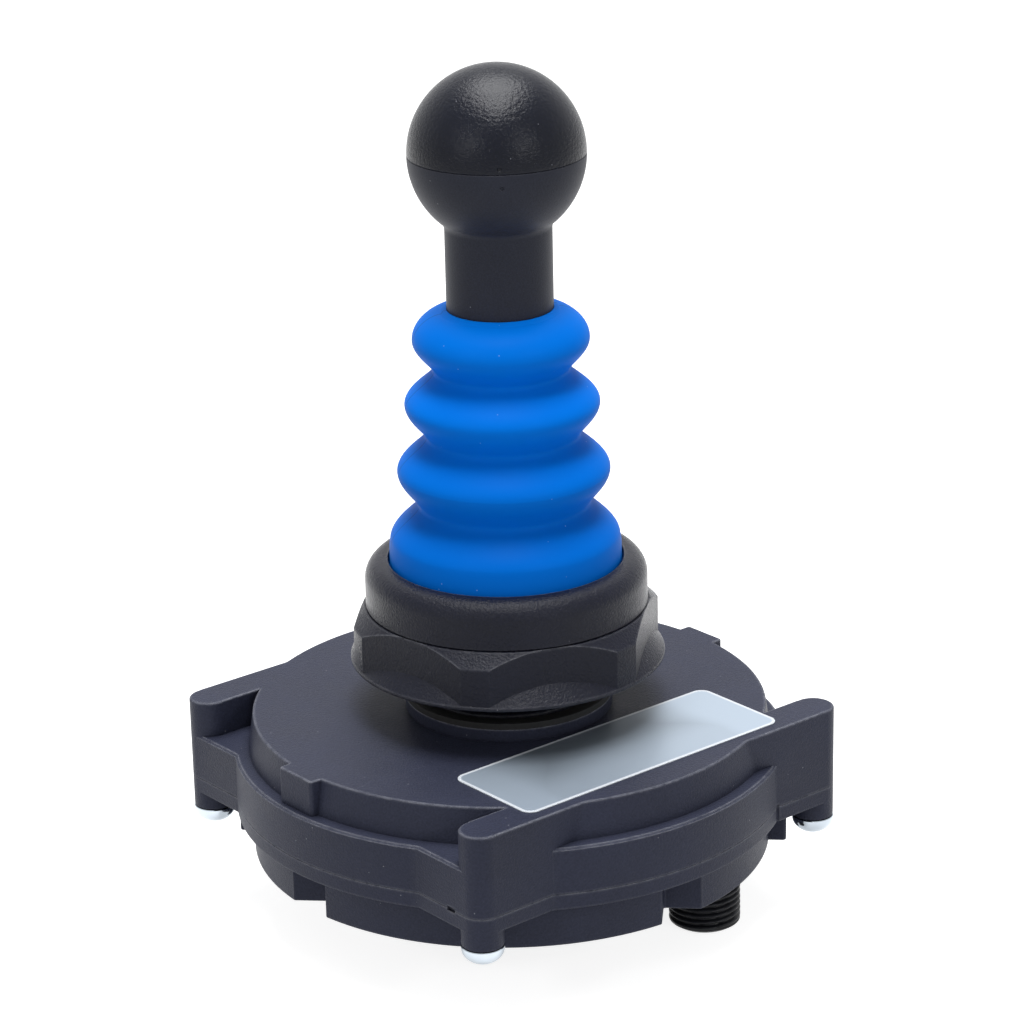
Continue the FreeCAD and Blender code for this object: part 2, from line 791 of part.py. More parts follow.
def pin_pair(label, inner, outer, axis):
    pins = []
    for side in (-1, 1):
        start = (inner if side > 0 else -outer)
        x, y = (start, 0) if axis.x else (0, start)
        pins.append(cylinder(f"{label}_{side + 1}", size("pin_radius"), outer - inner, x, y, pivot, axis))
    together = doc.addObject("Part::Compound", label)
    together.Links = pins
    return node(label, together)


def make_gimbal():
    body = new_body("gimbal_ring")
    outer, bore, half = size("ring_radius"), size("ring_bore"), size("ring_half_height")
    turned(body, "ring", [(bore, pivot - half), (outer, pivot - half),
                          (outer, pivot + half), (bore, pivot + half)])
    pressed = new_sketch(body, "pressed_outline", plane="YZ_Plane")
    circle(pressed, size("pin_radius"), 0, pivot)
    pocket(body, pressed, "pressed_holes", outer * 2 + 1, both=True)
    running = new_sketch(body, "running_outline", plane="XZ_Plane")
    circle(running, size("pin_radius") + size("pin_clearance"), 0, pivot)
    pocket(body, running, "running_holes", outer * 2 + 1, both=True)
    node("gimbal_ring", body)
    end_play = 0.15
    pin_pair("gimbal_pins", bore + 0.1, size("neck_radius") - size("bearing_skin") - end_play, Vector(1, 0, 0))
    pin_pair("hub_pins", size("hub_radius") - size("hub_skirt_wall"), outer - end_play, Vector(0, 1, 0))


def hub_face():
    """The wobble plate's lower face, just above the plungers' round tips."""
    return pivot + size("plunger_radius") + size("plunger_gap")


def make_lever():
    hub = new_body("pivot_hub")
    outer, shaft = size("hub_radius"), size("shaft_radius")
    inner, neck = outer - size("hub_skirt_wall"), size("hub_neck_radius")
    skirt, shoulder, top = pivot - size("hub_skirt_drop"), pivot + size("hub_shoulder"), pivot + size("hub_height")
    turned(hub, "hub", [(inner, skirt), (outer, skirt), (outer, shoulder), (neck, shoulder + 1.2),
                        (neck, top), (shaft, top), (shaft, hub_face()), (inner, hub_face())])
    holes = new_sketch(hub, "pin_outline", plane="XZ_Plane")
    circle(holes, size("pin_radius"), 0, pivot)
    pocket(hub, holes, "pin_holes", outer * 2 + 1, both=True)
    node("pivot_hub", hub)

    lever = new_body("lever_shaft")
    spring_top = shelf_top + size("spring_height")
    groove_low = spring_top + size("washer_thickness")
    groove_high = groove_low + size("clip_thickness")
    shaft_top = size("stem_bottom") + size("insert_length") - 2
    waist = shaft - size("clip_groove")
    turned(lever, "shaft", [(0, hub_face()), (shaft, hub_face()), (shaft, groove_low), (waist, groove_low),
                            (waist, groove_high), (shaft, groove_high), (shaft, shaft_top - 0.8),
                            (shaft - 0.8, shaft_top), (0, shaft_top)])
    node("lever_shaft", lever)

    washer = new_body("spring_washer")
    turned(washer, "washer", [(shaft, spring_top), (size("washer_radius"), spring_top),
                              (size("washer_radius"), groove_low), (shaft, groove_low)])
    node("spring_washer", washer)

    clip = new_body("spring_clip")
    turned(clip, "clip", [(waist, groove_low), (size("clip_radius"), groove_low),
                          (size("clip_radius"), groove_high), (waist, groove_high)])
    slot = new_sketch(clip, "slot_outline", groove_low)
    polygon(slot, [(0, -waist * 0.7), (size("clip_radius") + 1, -waist * 0.7),
                   (size("clip_radius") + 1, waist * 0.7), (0, waist * 0.7)])
    pocket(clip, slot, "slot", size("clip_thickness"), flip=True)
    node("spring_clip", clip)

    lock = new_body("knob_lock_nut")
    outline = new_sketch(lock, "outline", size("stem_bottom") - size("knob_nut_height"))
    hexagon(outline, size("knob_nut_flats"))
    circle(outline, shaft)
    pad(lock, outline, "prism", size("knob_nut_height"))
    node("knob_lock_nut", lock)


def make_return_spring():
    """A conical coil, narrow under the washer and wide on the neck's shelf, of eight-sided wire."""
    wire = size("spring_wire").value
    rise = size("spring_height").value - wire
    narrow, wide = size("spring_top_radius").value, size("spring_foot_radius").value
    top = shelf_top.value + wire / 2 + rise
    count = 2 * round(size("spring_turns").value * 6)
    points = []
    for index in range(count + 1):
        share = index / count
        radius, angle = narrow + (wide - narrow) * share, math.tau * size("spring_turns").value * share
        points.append(Vector(radius * math.cos(angle), radius * math.sin(angle), top - rise * share))
    arcs = [Part.Arc(*points[index:index + 3]).toShape() for index in range(0, count, 2)]
    along = arcs[0].tangentAt(arcs[0].FirstParameter)
    ring = Part.makeCircle(wire / 2, points[0], along)
    corners = [ring.valueAt(ring.FirstParameter + math.tau / 8 * index) for index in range(8)]
    section = Part.makePolygon(corners + corners[:1])
    free_shape("return_spring", Part.Wire(arcs).makePipeShell([section], True, False, 1))


def sphere(name, radius, low, high, z):
    ball = doc.addObject("Part::Sphere", name)
    bind(ball, "Radius", radius)
    ball.Angle1 = low
    ball.Angle2 = high
    ball.Placement = Placement(Vector(0, 0, z.value), Rotation())
    bind(ball, "Placement.Base.z", z)
    return ball


def make_knob():
    middle, stem_low = ball_middle, size("stem_bottom")
    lower = sphere("ball_lower", size("ball_radius"), -90, 0, middle)
    stem = cylinder("stem", size("stem_radius"), middle - stem_low - size("cap_spigot_depth"), z=stem_low)
    whole = joined("knob_lower", "Fuse", lower, stem)
    doc.recompute()
    meeting = middle - root(size("ball_radius") * size("ball_radius") - size("stem_radius") * size("stem_radius"))
    wanted = circle_edge(size("stem_radius"), meeting)
    picked = [index for index, edge in enumerate(whole.Shape.Edges, start=1) if wanted(edge)]
    fillet = doc.addObject("Part::Fillet", "stem_fillet")
    fillet.Base = whole
    radius = size("stem_fillet").value
    fillet.Edges = [(index, radius, radius) for index in picked]
    depth, spigot = size("cap_spigot_depth"), size("cap_spigot_radius")
    recess = cylinder("cap_recess", spigot, depth, z=middle - depth)
    bore = cylinder("insert_bore", size("insert_radius"), size("insert_length"), z=stem_low)
    node("knob_stem", joined("knob_bored", "Cut", fillet, recess, bore))

    upper = sphere("ball_upper", size("ball_radius"), 0, 90, middle)
    plug = cylinder("cap_spigot", spigot, depth, z=middle - depth)
    node("knob_cap", joined("knob_capped", "Fuse", upper, plug))

    insert = new_body("knob_insert")
    shaft, outer, top = size("shaft_radius"), size("insert_radius"), stem_low + size("insert_length")
    turned(insert, "insert", [(shaft, stem_low), (outer, stem_low), (outer, top), (0, top),
                              (0, top - 1.5), (shaft, top - 1.5)])
    node("knob_insert", insert)


# Switch block

def plunger_points():
    reach = size("plunger_circle")
    zero = as_size(0)
    return {"front": (zero, -reach), "back": (zero, reach), "left": (-reach, zero), "right": (reach, zero)}


def post_points():
    reach = size("post_circle")
    zero = as_size(0)
    return [(reach, zero), (zero, reach), (-reach, zero), (zero, -reach)]


def make_carrier():
    body = new_body("switch_carrier")
    disc = new_sketch(body, "disc_outline", carrier_under)
    circle(disc, size("carrier_radius"))
    pad(body, disc, "disc", size("carrier_thickness"))
    posts = new_sketch(body, "post_outline", board_top)
    for x, y in post_points():
        circle(posts, size("post_radius"), x, y)
    pad(body, posts, "posts", carrier_under - board_top)
    guides = new_sketch(body, "guide_outline", carrier_top)
    for x, y in plunger_points().values():
        circle(guides, size("plunger_radius") + size("pin_clearance"), x, y)
    for x, y in carrier_screw_points():
        circle(guides, size("carrier_screw_radius") + 0.15, x, y)
    pocket(body, guides, "guides", size("carrier_thickness"))
    pilots = new_sketch(body, "pilot_outline", board_top)
    for x, y in post_points():
        circle(pilots, size("board_screw_radius"), x, y)
    pocket(body, pilots, "pilots", size("board_screw_length"), flip=True)
    node("switch_carrier", body)

    screw = new_body("carrier_screw_form")
    shank, head = size("carrier_screw_radius"), size("carrier_screw_radius") * 2
    tip = carrier_top + size("carrier_screw_depth") - 0.3
    turned(screw, "screw", [(0, carrier_under - 1.9), (head, carrier_under - 1.9), (head, carrier_under),
                            (shank, carrier_under), (shank, tip), (0, tip)])
    repeated("carrier_screws", screw, carrier_screw_points())


def make_board():
    body = new_body("circuit_board")
    disc = new_sketch(body, "disc_outline", board_under)
    circle(disc, size("board_radius"))
    for x, y in post_points():
        circle(disc, size("board_screw_radius") + 0.1, x, y)
    pad(body, disc, "disc", size("board_thickness"))
    node("circuit_board", body)

    screw = new_body("board_screw_form")
    shank, head = size("board_screw_radius"), size("board_screw_radius") * 1.9
    tip = board_top + size("board_screw_length") - 0.5
    turned(screw, "screw", [(0, board_under - 0.9), (head, board_under - 0.9), (head, board_under),
                            (shank, board_under), (shank, tip), (0, tip)])
    repeated("board_screws", screw, post_points())


def make_switches():
    """Four switches in a cross; each plunger reaches up through its guide to the wobble plate."""
    reach, radius = size("plunger_circle"), size("plunger_radius")
    near_end, far_end = reach - size("switch_front"), reach - size("switch_front") + size("switch_length")
    half = size("switch_width") / 2
    for name, (x, y) in plunger_points().items():
        along = (1 if x.value > 0 else -1 if x.value < 0 else 0, 1 if y.value > 0 else -1 if y.value < 0 else 0)
        body = new_body(f"switch_{name}")
        outline = new_sketch(body, "outline", board_top)
        corners = [(near_end, -half), (far_end, -half), (far_end, half), (near_end, half)]
        polygon(outline, [(along[0] * u - along[1] * v, along[1] * u + along[0] * v) for u, v in corners])
        pad(body, outline, "case", size("switch_height"))
        bore = new_sketch(body, "bore_outline", switch_top)
        circle(bore, radius + 0.1, x, y)
        pocket(body, bore, "bore", size("switch_bore_depth"))
        node(f"switch_{name}", body)

        plunger = cylinder(f"rod_{name}", radius, size("plunger_length") - radius, x, y,
                           pivot + radius - size("plunger_length"))
        tip = doc.addObject("Part::Sphere", f"tip_{name}")
        bind(tip, "Radius", radius)
        for letter, item in zip("xyz", (x, y, pivot)):
            bind(tip, f"Placement.Base.{letter}", item)
        node(f"plunger_{name}", joined(f"plunger_{name}_whole", "Fuse", plunger, tip))


# Connector

def at_plug(body):
    """Sets a body that is turned about Z onto the connector's axis."""
    bind(body, "Placement.Base.x", size("plug_x"))
    bind(body, "Placement.Base.y", size("plug_y"))
    return body


def make_connector():
    outer, inner, bore = size("plug_radius"), size("plug_inner_radius"), size("plug_bore")
    mouth, inside = base_bottom - size("plug_length"), base_bottom + size("plug_inside")
    insert_low = mouth + size("socket_depth")
    shell = new_body("connector_shell")
    turned(shell, "shell", [(bore, mouth), (outer - 0.4, mouth), (outer, mouth + 0.4), (outer, base_bottom),
                            (inner, base_bottom), (inner, inside), (bore, inside)])
    node("connector_shell", at_plug(shell))

    insert = new_body("connector_insert")
    disc = new_sketch(insert, "disc_outline", insert_low)
    circle(disc, bore)
    contacts = [(as_size(0), as_size(0))]
    for index in range(7):
        angle = 360 / 7 * index
        contacts.append((size("contact_circle") * cosine(angle), size("contact_circle") * sine(angle)))
    for x, y in contacts:
        circle(disc, size("contact_radius"), x, y)
    pad(insert, disc, "disc", inside - insert_low)
    node("connector_insert", at_plug(insert))

    tip = mouth + size("contact_tip")
    contact = new_body("contact_form")
    turned(contact, "pin", [(0, tip), (size("contact_radius"), tip), (size("contact_radius"), inside + 1.5),
                            (0, inside + 1.5)])
    places = [(x + size("plug_x"), y + size("plug_y")) for x, y in contacts]
    repeated("connector_contacts", contact, places)

    seal = new_body("connector_seal")
    seal_outer, seal_top = inner + size("plug_seal_width"), base_bottom + size("plug_seal_width")
    turned(seal, "ring", [(inner, base_bottom), (seal_outer, base_bottom), (seal_outer, seal_top), (inner, seal_top)])
    node("connector_seal", at_plug(seal))

    lock = new_body("connector_nut")
    outline = new_sketch(lock, "outline", floor_top)
    hexagon(outline, size("plug_nut_flats"), 30)
    circle(outline, inner)
    pad(lock, outline, "prism", size("plug_nut_height"))
    node("connector_nut", at_plug(lock))


def make_lead():
    """The wire bundle from the connector up, over and down to the board."""
    plug = Vector(size("plug_x").value, size("plug_y").value, 0)
    inward = Vector(-plug.x, -plug.y, 0).normalize()
    start = plug + Vector(0, 0, (base_bottom + size("plug_inside") + 1.5).value)
    above = start + Vector(0, 0, size("lead_rise").value)
    over = above + inward * size("lead_span").value
    end = Vector(over.x, over.y, board_top.value)
    bend = 0.45 * min((above - start).Length, (over - above).Length, (over - end).Length)
    edges, last = [], start
    for corner, ahead in ((above, over), (over, end)):
        back, forth = (last - corner).normalize(), (ahead - corner).normalize()
        enter, leave = corner + back * bend, corner + forth * bend
        centre = corner + (back + forth) * bend
        middle = centre + (corner - centre).normalize() * bend
        edges += [Part.makeLine(last, enter), Part.Arc(enter, middle, leave).toShape()]
        last = leave
    edges.append(Part.makeLine(last, end))
    path = Part.Wire(edges)
    section = Part.Wire(Part.makeCircle(size("lead_radius").value, start, Vector(0, 0, 1)))
    free_shape("connector_lead", path.makePipeShell([section], True, False))


# Label

def make_label():
    body = new_body("label_plate")
    outline = new_sketch(body, "outline", lid_top)
    half_length, half_width = size("label_length") / 2, size("label_width") / 2
    low, high = label_middle - half_width, label_middle + half_width
    polygon(outline, [(-half_length, low), (half_length, low), (half_length, high), (-half_length, high)])
    pad(body, outline, "plate", size("label_thickness"))
    rounded(body, "corners", size("label_corner"), lambda edge: edge.BoundBox.ZLength > 0.1)
    node("label_plate", body)


make_upper_housing()
make_lower_housing()
make_seals()
make_housing_screws()
make_neck()
make_mounting_nut()
make_bezel()
make_bellows()
make_gate_plate()
make_gimbal()
make_lever()
make_return_spring()
make_knob()
make_carrier()
make_board()
make_switches()
make_connector()
make_lead()
make_label()
doc.recompute()

failed = [item.Name for item in doc.Objects if "Invalid" in item.State or "Error" in item.State]
if failed:
    raise RuntimeError(f"these objects failed: {failed}")

for label, thing in nodes.items():
    shape = thing.Shape
    if shape.isNull() or not shape.isValid() or not shape.Solids:
        raise RuntimeError(f"{label} has no valid solid")

os.makedirs("parts", exist_ok=True)
for label, thing in nodes.items():
    thing.Shape.exportStep(f"parts/{label}.step")
    print(label, len(thing.Shape.Solids), round(thing.Shape.Volume, 2))
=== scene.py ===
"""An industrial joystick for a panel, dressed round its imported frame."""
import json
import math

import bmesh
import bpy
from bpy.props import FloatProperty, FloatVectorProperty, IntProperty, PointerProperty
from mathutils import Matrix, Vector


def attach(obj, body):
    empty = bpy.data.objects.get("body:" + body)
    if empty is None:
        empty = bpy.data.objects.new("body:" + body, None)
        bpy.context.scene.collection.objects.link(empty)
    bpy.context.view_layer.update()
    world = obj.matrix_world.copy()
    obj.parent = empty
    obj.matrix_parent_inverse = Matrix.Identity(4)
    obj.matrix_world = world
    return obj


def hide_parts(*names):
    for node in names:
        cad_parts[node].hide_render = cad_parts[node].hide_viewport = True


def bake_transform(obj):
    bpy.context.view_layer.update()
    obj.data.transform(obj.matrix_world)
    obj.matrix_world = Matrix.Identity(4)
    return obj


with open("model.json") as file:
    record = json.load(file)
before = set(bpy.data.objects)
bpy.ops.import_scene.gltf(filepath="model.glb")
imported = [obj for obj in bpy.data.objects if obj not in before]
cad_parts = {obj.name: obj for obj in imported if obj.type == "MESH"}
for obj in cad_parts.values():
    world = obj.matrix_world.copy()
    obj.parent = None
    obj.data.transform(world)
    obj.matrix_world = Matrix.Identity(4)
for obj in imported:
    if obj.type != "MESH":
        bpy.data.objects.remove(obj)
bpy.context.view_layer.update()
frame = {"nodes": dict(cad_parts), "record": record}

bl_info = {
    "name": "Industrial joystick",
    "version": (1, 0, 0),
    "blender": (4, 5, 0),
    "location": "3D View > Sidebar > Joystick",
    "description": "Builds the visible pieces of a panel joystick round its frame",
    "category": "Object",
}

MM = 0.001
ON_AXIS = 1e-7
LEAST_MITRE = 0.3
OVERLAP = 0.01 * MM
PAST = 1 * MM
PLUG_HOLE = 5.0 * MM
# Pale grey for dust and for light edges, which are partly worn and partly a painted highlight.
DUST_WEAR_AND_GLINT_GREY = (0.42, 0.43, 0.47)
HOUSING = "housing"
LEVER = "lever"


# Sizes and colours that a user may change

def length(name, millimetres, description):
    return FloatProperty(name=name, description=description, default=millimetres * MM, min=0,
                         unit="LENGTH")


def level(name, millimetres, description):
    return FloatProperty(name=name, description=description, default=millimetres * MM, unit="LENGTH")


def colour(name, red, green, blue, description):
    return FloatVectorProperty(name=name, description=description, default=(red, green, blue), size=3,
                               min=0, max=1, subtype="COLOR")


class JoystickHousingSizes(bpy.types.PropertyGroup):
    rim_radius: length("Rim radius", 46.3, "Radius of the rim and of the base flange")
    crown_radius: length("Crown radius", 43.0, "Radius of the raised middle of the lid")
    crown_draft: length("Crown draft", 0.9, "How much wider the crown's wall is where it meets the rim")
    ear_offset: length("Ear offset", 36.0, "Distance of a screw ear from the middle along X and along Y")
    ear_radius: length("Ear radius", 3.4, "Radius of a screw ear and half the width of a bar")
    bar_corner: length("Bar corner", 3.5, "Round where a bar's outer face leaves the crown")
    tab_reach: length("Tab reach", 44.9, "Distance of a side tab's face from the middle")
    tab_half_width: length("Tab half width", 4.25, "Half the width of a side tab")
    collar_radius: length("Collar radius", 17.36, "Radius of the collar round the neck")
    drum_radius: length("Drum radius", 43.6, "Radius of the base below its flange")
    notch_face: length("Notch face", 28.1, "Distance of a notch's first face from the middle")
    notch_side: length("Notch side", 27.2, "Distance of a notch's second face from the middle")
    wall: length("Wall", 2.4, "Thickness of the side walls")
    screw_head: length("Screw head radius", 3.5, "Radius of a housing screw's pan head")
    edge_round: length("Edge round", 0.4, "Round on the lid's outer edges")
    seam_round: length("Seam round", 0.1, "Round on the edges that meet at the parting line")
    collar_top: level("Collar top", -1.0, "Height of the collar's top")
    lid_top: level("Lid top", -3.15, "Height of the lid's top face")
    lid_under: level("Lid underside", -5.65, "Height of the underside of the lid's top wall")
    step: level("Step", -9.25, "Height of the ledge round the crown")
    parting: level("Parting line", -17.15, "Height where the lid meets the base")
    flange_under: level("Flange underside", -19.85, "Height of the base flange's underside")
    boss_bottom: level("Boss bottom", -22.9, "Height of the screw bosses' lower ends")
    head_bottom: level("Screw bottom", -26.0, "Height of the lowest point of a housing screw")
    floor_top: level("Floor top", -25.45, "Height of the inside of the base's floor")
    base_bottom: level("Base bottom", -27.45, "Height of the underside of the base")


class JoystickClampSizes(bpy.types.PropertyGroup):
    neck_radius: length("Neck radius", 15.0, "Outer radius of the neck's thread")
    neck_bore: length("Neck bore", 12.8, "Inner radius of the neck")
    neck_pitch: length("Neck pitch", 1.5, "Pitch of the neck's thread")
    nut_flats: length("Nut flats", 47.2, "Distance across the nut's flats")
    nut_flange: length("Nut flange", 26.2, "Radius of the nut's flange")
    nut_corner: length("Nut corner", 26.0, "Radius to which the nut's corners are turned down")
    nut_chamfer: length("Nut chamfer", 2.3, "Chamfer on top of the nut's corners")
    bezel_radius: length("Bezel radius", 23.43, "Outer radius of the bezel")
    bezel_round: length("Bezel round", 3.4, "Round on the bezel's shoulder")
    nut_under: level("Nut underside", 5.85, "Height of the nut's underside")
    nut_top: level("Nut top", 15.15, "Height of the nut's top")
    neck_top: level("Neck top", 20.85, "Height of the neck's upper end")
    bezel_top: level("Bezel top", 23.15, "Height of the bezel's top")
    nut_turn: FloatProperty(name="Nut turn", description="Angle of one of the nut's corners",
                            default=math.radians(38.5), subtype="ANGLE")


class JoystickBellowsSizes(bpy.types.PropertyGroup):
    foot_radius: length("Foot radius", 19.2, "Radius of the bellows where they leave the bezel")
    wall: length("Wall", 1.3, "Thickness of the bellows")
    first_radius: length("First lobe", 19.04, "Radius of the lowest lobe")
    last_radius: length("Last lobe", 14.46, "Radius of the highest lobe")
    valley_depth: length("Valley depth", 4.1, "Depth of a valley below its two lobes")
    first_height: level("First lobe height", 26.35, "Height of the lowest lobe's middle")
    pitch: length("Pitch", 11.9, "Distance from the first lobe to the second")
    pitch_loss: length("Pitch loss", 0.5, "How much each pitch is shorter than the one below")
    top: level("Top", 65.75, "Height of the bellows' top edge")
    line_turn: FloatProperty(name="Line turn", description="Angle of the mould's parting line",
                             default=math.radians(150.5), subtype="ANGLE")


class JoystickKnobSizes(bpy.types.PropertyGroup):
    ball_radius: length("Ball radius", 14.4, "Radius of the knob's ball")
    ball_middle: level("Ball middle", 91.25, "Height of the ball's middle")
    stem_radius: length("Stem radius", 8.7, "Radius of the knob's stem")
    stem_bottom: level("Stem bottom", 58.5, "Height of the stem's lower end")
    stem_round: length("Stem round", 1.6, "Round between ball and stem")
    seam: length("Seam", 0.12, "Depth and half height of the groove between the knob's halves")
    pit: length("Pit", 0.42, "Radius of the two gate marks beside the seam")


class JoystickConnectorSizes(bpy.types.PropertyGroup):
    place_x: level("Place X", 17.1, "Position of the connector's axis along X")
    place_y: level("Place Y", -29.6, "Position of the connector's axis along Y")
    radius: length("Radius", 6.0, "Outer radius of the connector's thread")
    bore: length("Bore", 4.35, "Inner radius of the socket")
    pitch: length("Pitch", 1.05, "Pitch of the connector's thread")
    mouth: level("Mouth", -38.75, "Height of the connector's lower end")


class JoystickLabelSizes(bpy.types.PropertyGroup):
    length: length("Length", 54.2, "Length of the label plate")
    width: length("Width", 18.9, "Width of the label plate")
    thickness: length("Thickness", 0.15, "Thickness of the label plate")
    middle: level("Middle", -27.8, "Position of the label's middle along Y")
    corner: length("Corner", 2.0, "Round of the label's corners")
    border: length("Border", 0.55, "Width of the label's pale border")


class JoystickColours(bpy.types.PropertyGroup):
    housing: colour("Housing", 0.024, 0.027, 0.046, "Grained plastic of the lid and the base")
    clamp: colour("Clamp", 0.007, 0.008, 0.016, "Satin plastic of neck, nut and bezel")
    cap: colour("Cap", 0.002, 0.003, 0.008, "Glossy plastic of the knob's cap")
    stem: colour("Stem", 0.018, 0.020, 0.030, "Satin plastic of the knob's stem")
    bellows: colour("Bellows", 0.0, 0.150, 0.66, "Blue rubber of the bellows")
    label: colour("Label", 0.30, 0.355, 0.42, "Silver foil of the label plate")
    border: colour("Label border", 0.5, 0.53, 0.57, "Pale border inside the label's edge")


class JoystickStageSettings(bpy.types.PropertyGroup):
    floor_size: FloatProperty(name="Floor size", description="Length of the floor's sides", default=6,
                              unit="LENGTH")
    focal_pixels: FloatProperty(name="Focal length in pixels", default=3599.583,
                                description="Focal length measured in pixels of the square photograph")
    frame_pixels: IntProperty(name="Frame", default=1024, subtype="PIXEL",
                              description="Side of the square photograph in pixels")
    eye: FloatVectorProperty(name="Eye", description="Position of the camera", size=3,
                             default=(-0.35345, -0.43063, 0.23296), subtype="XYZ", unit="LENGTH")
    heading: FloatProperty(name="Heading", description="Turn of the camera from +Y towards +X",
                           default=math.radians(39.5), subtype="ANGLE")
    drop: FloatProperty(name="Drop", description="How far the camera looks down",
                        default=math.radians(19.975), subtype="ANGLE")
    roll: FloatProperty(name="Roll", description="Roll of the camera", default=math.radians(-1.274),
                        subtype="ANGLE")


SETTINGS = {
    "joystick_housing": JoystickHousingSizes,
    "joystick_clamp": JoystickClampSizes,
    "joystick_bellows": JoystickBellowsSizes,
    "joystick_knob": JoystickKnobSizes,
    "joystick_connector": JoystickConnectorSizes,
    "joystick_label": JoystickLabelSizes,
    "joystick_colours": JoystickColours,
    "joystick_stage": JoystickStageSettings,
}


# Points

def polar(radius, degrees, centre=(0, 0)):
    angle = math.radians(degrees)
    return centre[0] + radius * math.cos(angle), centre[1] + radius * math.sin(angle)


def arc(centre, radius, start, end, steps):
    """Points along an arc with both of its ends, angles in degrees."""
    return [polar(radius, start + (end - start) * step / steps, centre) for step in range(steps + 1)]


def softened(corners, steps=4):
    """Points of an outline whose corners (x, y, round) are rounded where a round is given."""
    points = []
    count = len(corners)
    for index, corner in enumerate(corners):
        x, y, turn = (*corner, 0)[:3]
        here = Vector((x, y))
        if not turn:
            points.append(tuple(here))
            continue
        back = (Vector(corners[index - 1][:2]) - here).normalized()
        ahead = (Vector(corners[(index + 1) % count][:2]) - here).normalized()
        half = back.angle(ahead) / 2
        middle = here + (back + ahead).normalized() * (turn / math.sin(half))
        start = here + back * (turn / math.tan(half)) - middle
        end = here + ahead * (turn / math.tan(half)) - middle
        first = math.degrees(math.atan2(start.y, start.x))
        sweep = (math.degrees(math.atan2(end.y, end.x)) - first + 180) % 360 - 180
        points += arc(middle, turn, first, first + sweep, steps)
    return points


def inset_outline(outline, inset):
    """A counterclockwise outline moved inwards."""
    moved = []
    for index, point in enumerate(outline):
        here = Vector(point)
        before = (here - Vector(outline[index - 1])).normalized()
        after = (Vector(outline[(index + 1) % len(outline)]) - here).normalized()
        left = Vector((-before.y - after.y, before.x + after.x)).normalized()
        reach = max(LEAST_MITRE, left.dot(Vector((-before.y, before.x))))
        moved.append(tuple(here + left * (inset / reach)))
    return moved


def strung(runs):
    """Runs of points joined end to start."""
    points = list(runs[0])
    for run in runs[1:]:
        points += run[1:]
    return points


def edge_levels(bottom, top, low_round, high_round, steps=4):
    """Inset and height of each ring of a prism whose lower and upper edges may be rounded."""
    quarter = [math.pi / 2 * step / steps for step in range(steps + 1)]
    levels = [(low_round * (1 - math.sin(angle)), bottom + low_round * (1 - math.cos(angle)))
              for angle in (quarter if low_round else quarter[:1])]
    levels[0] = (low_round, bottom)
    levels += [(high_round * (1 - math.cos(angle)), top - high_round * (1 - math.sin(angle)))
               for angle in (quarter if high_round else quarter[-1:])]
    levels[-1] = (high_round, top)
    return levels


# Meshes

def mesh_object(name, form):
    form.normal_update()
    bmesh.ops.triangulate(form, faces=[face for face in form.faces if len(face.verts) > 4])
    bmesh.ops.recalc_face_normals(form, faces=form.faces)
    mesh = bpy.data.meshes.new(name)
    form.to_mesh(mesh)
    form.free()
    made = bpy.data.objects.new(name, mesh)
    bpy.context.scene.collection.objects.link(made)
    return made


def skinned(name, rings):
    """Quads between rings of points, with flat ends."""
    form = bmesh.new()
    rows = [[form.verts.new(point) for point in ring] for ring in rings]
    count = len(rows[0])
    for low, high in zip(rows, rows[1:]):
        for index in range(count):
            after = (index + 1) % count
            form.faces.new((low[index], low[after], high[after], high[index]))
    form.faces.new(rows[0][::-1])
    form.faces.new(rows[-1])
    return mesh_object(name, form)


def prism(name, outline, bottom, top, low_round=0.0, high_round=0.0, steps=4):
    """An upright prism on an outline, its edges rounded in steps or, with one step, chamfered."""
    levels = edge_levels(bottom, top, low_round, high_round, steps)
    rings = [[(x, y, height) for x, y in inset_outline(outline, inset)] for inset, height in levels]
    return skinned(name, rings)


def ridge(turn):
    """Depth of a thread from 0 on its crest to 1 at its root, over one turn."""
    crest, flank = 0.14, 0.72
    return min(1, max(0, (abs(2 * (turn % 1) - 1) - crest) / flank))


def thread_rows(radius, low, high, depth, rows, run_out):
    """Rows of a lathe's profile for a thread that fades out towards both of its ends."""
    return [(radius, low + (high - low) * share, depth * min(1, share * run_out, (1 - share) * run_out))
            for share in [row / rows for row in range(1, rows)]]


def lathe(name, profile, steps=96, centre=(0, 0), pitch=1.0):
    """A profile (radius, height, thread depth) turned about an upright axis.

    A profile that starts and ends on the axis is closed there, and any other closes on itself.
    """
    form = bmesh.new()
    rows = []
    for item in profile:
        radius, height, depth = (*item, 0)[:3]
        if radius < ON_AXIS:
            rows.append([form.verts.new((centre[0], centre[1], height))])
            continue
        row = []
        for index in range(steps):
            share = index / steps
            reach = radius - depth * ridge(height / pitch - share) if depth else radius
            angle = math.tau * share
            row.append(form.verts.new((centre[0] + reach * math.cos(angle),
                                       centre[1] + reach * math.sin(angle), height)))
        rows.append(row)
    on_axis = len(rows[0]) == 1 and len(rows[-1]) == 1
    for low, high in zip(rows, rows[1:] if on_axis else rows[1:] + rows[:1]):
        for index in range(steps):
            after = (index + 1) % steps
            if len(low) == 1:
                form.faces.new((low[0], high[after], high[index]))
            elif len(high) == 1:
                form.faces.new((low[index], low[after], high[0]))
            else:
                form.faces.new((low[index], low[after], high[after], high[index]))
    return mesh_object(name, form)


def pin(name, centre, radius, bottom, top, steps=48, low_round=0.0, high_round=0.0):
    """An upright cylinder."""
    outline = arc(centre, radius, 0, 360 - 360 / steps, steps - 1)
    return prism(name, outline, bottom, top, low_round, high_round)


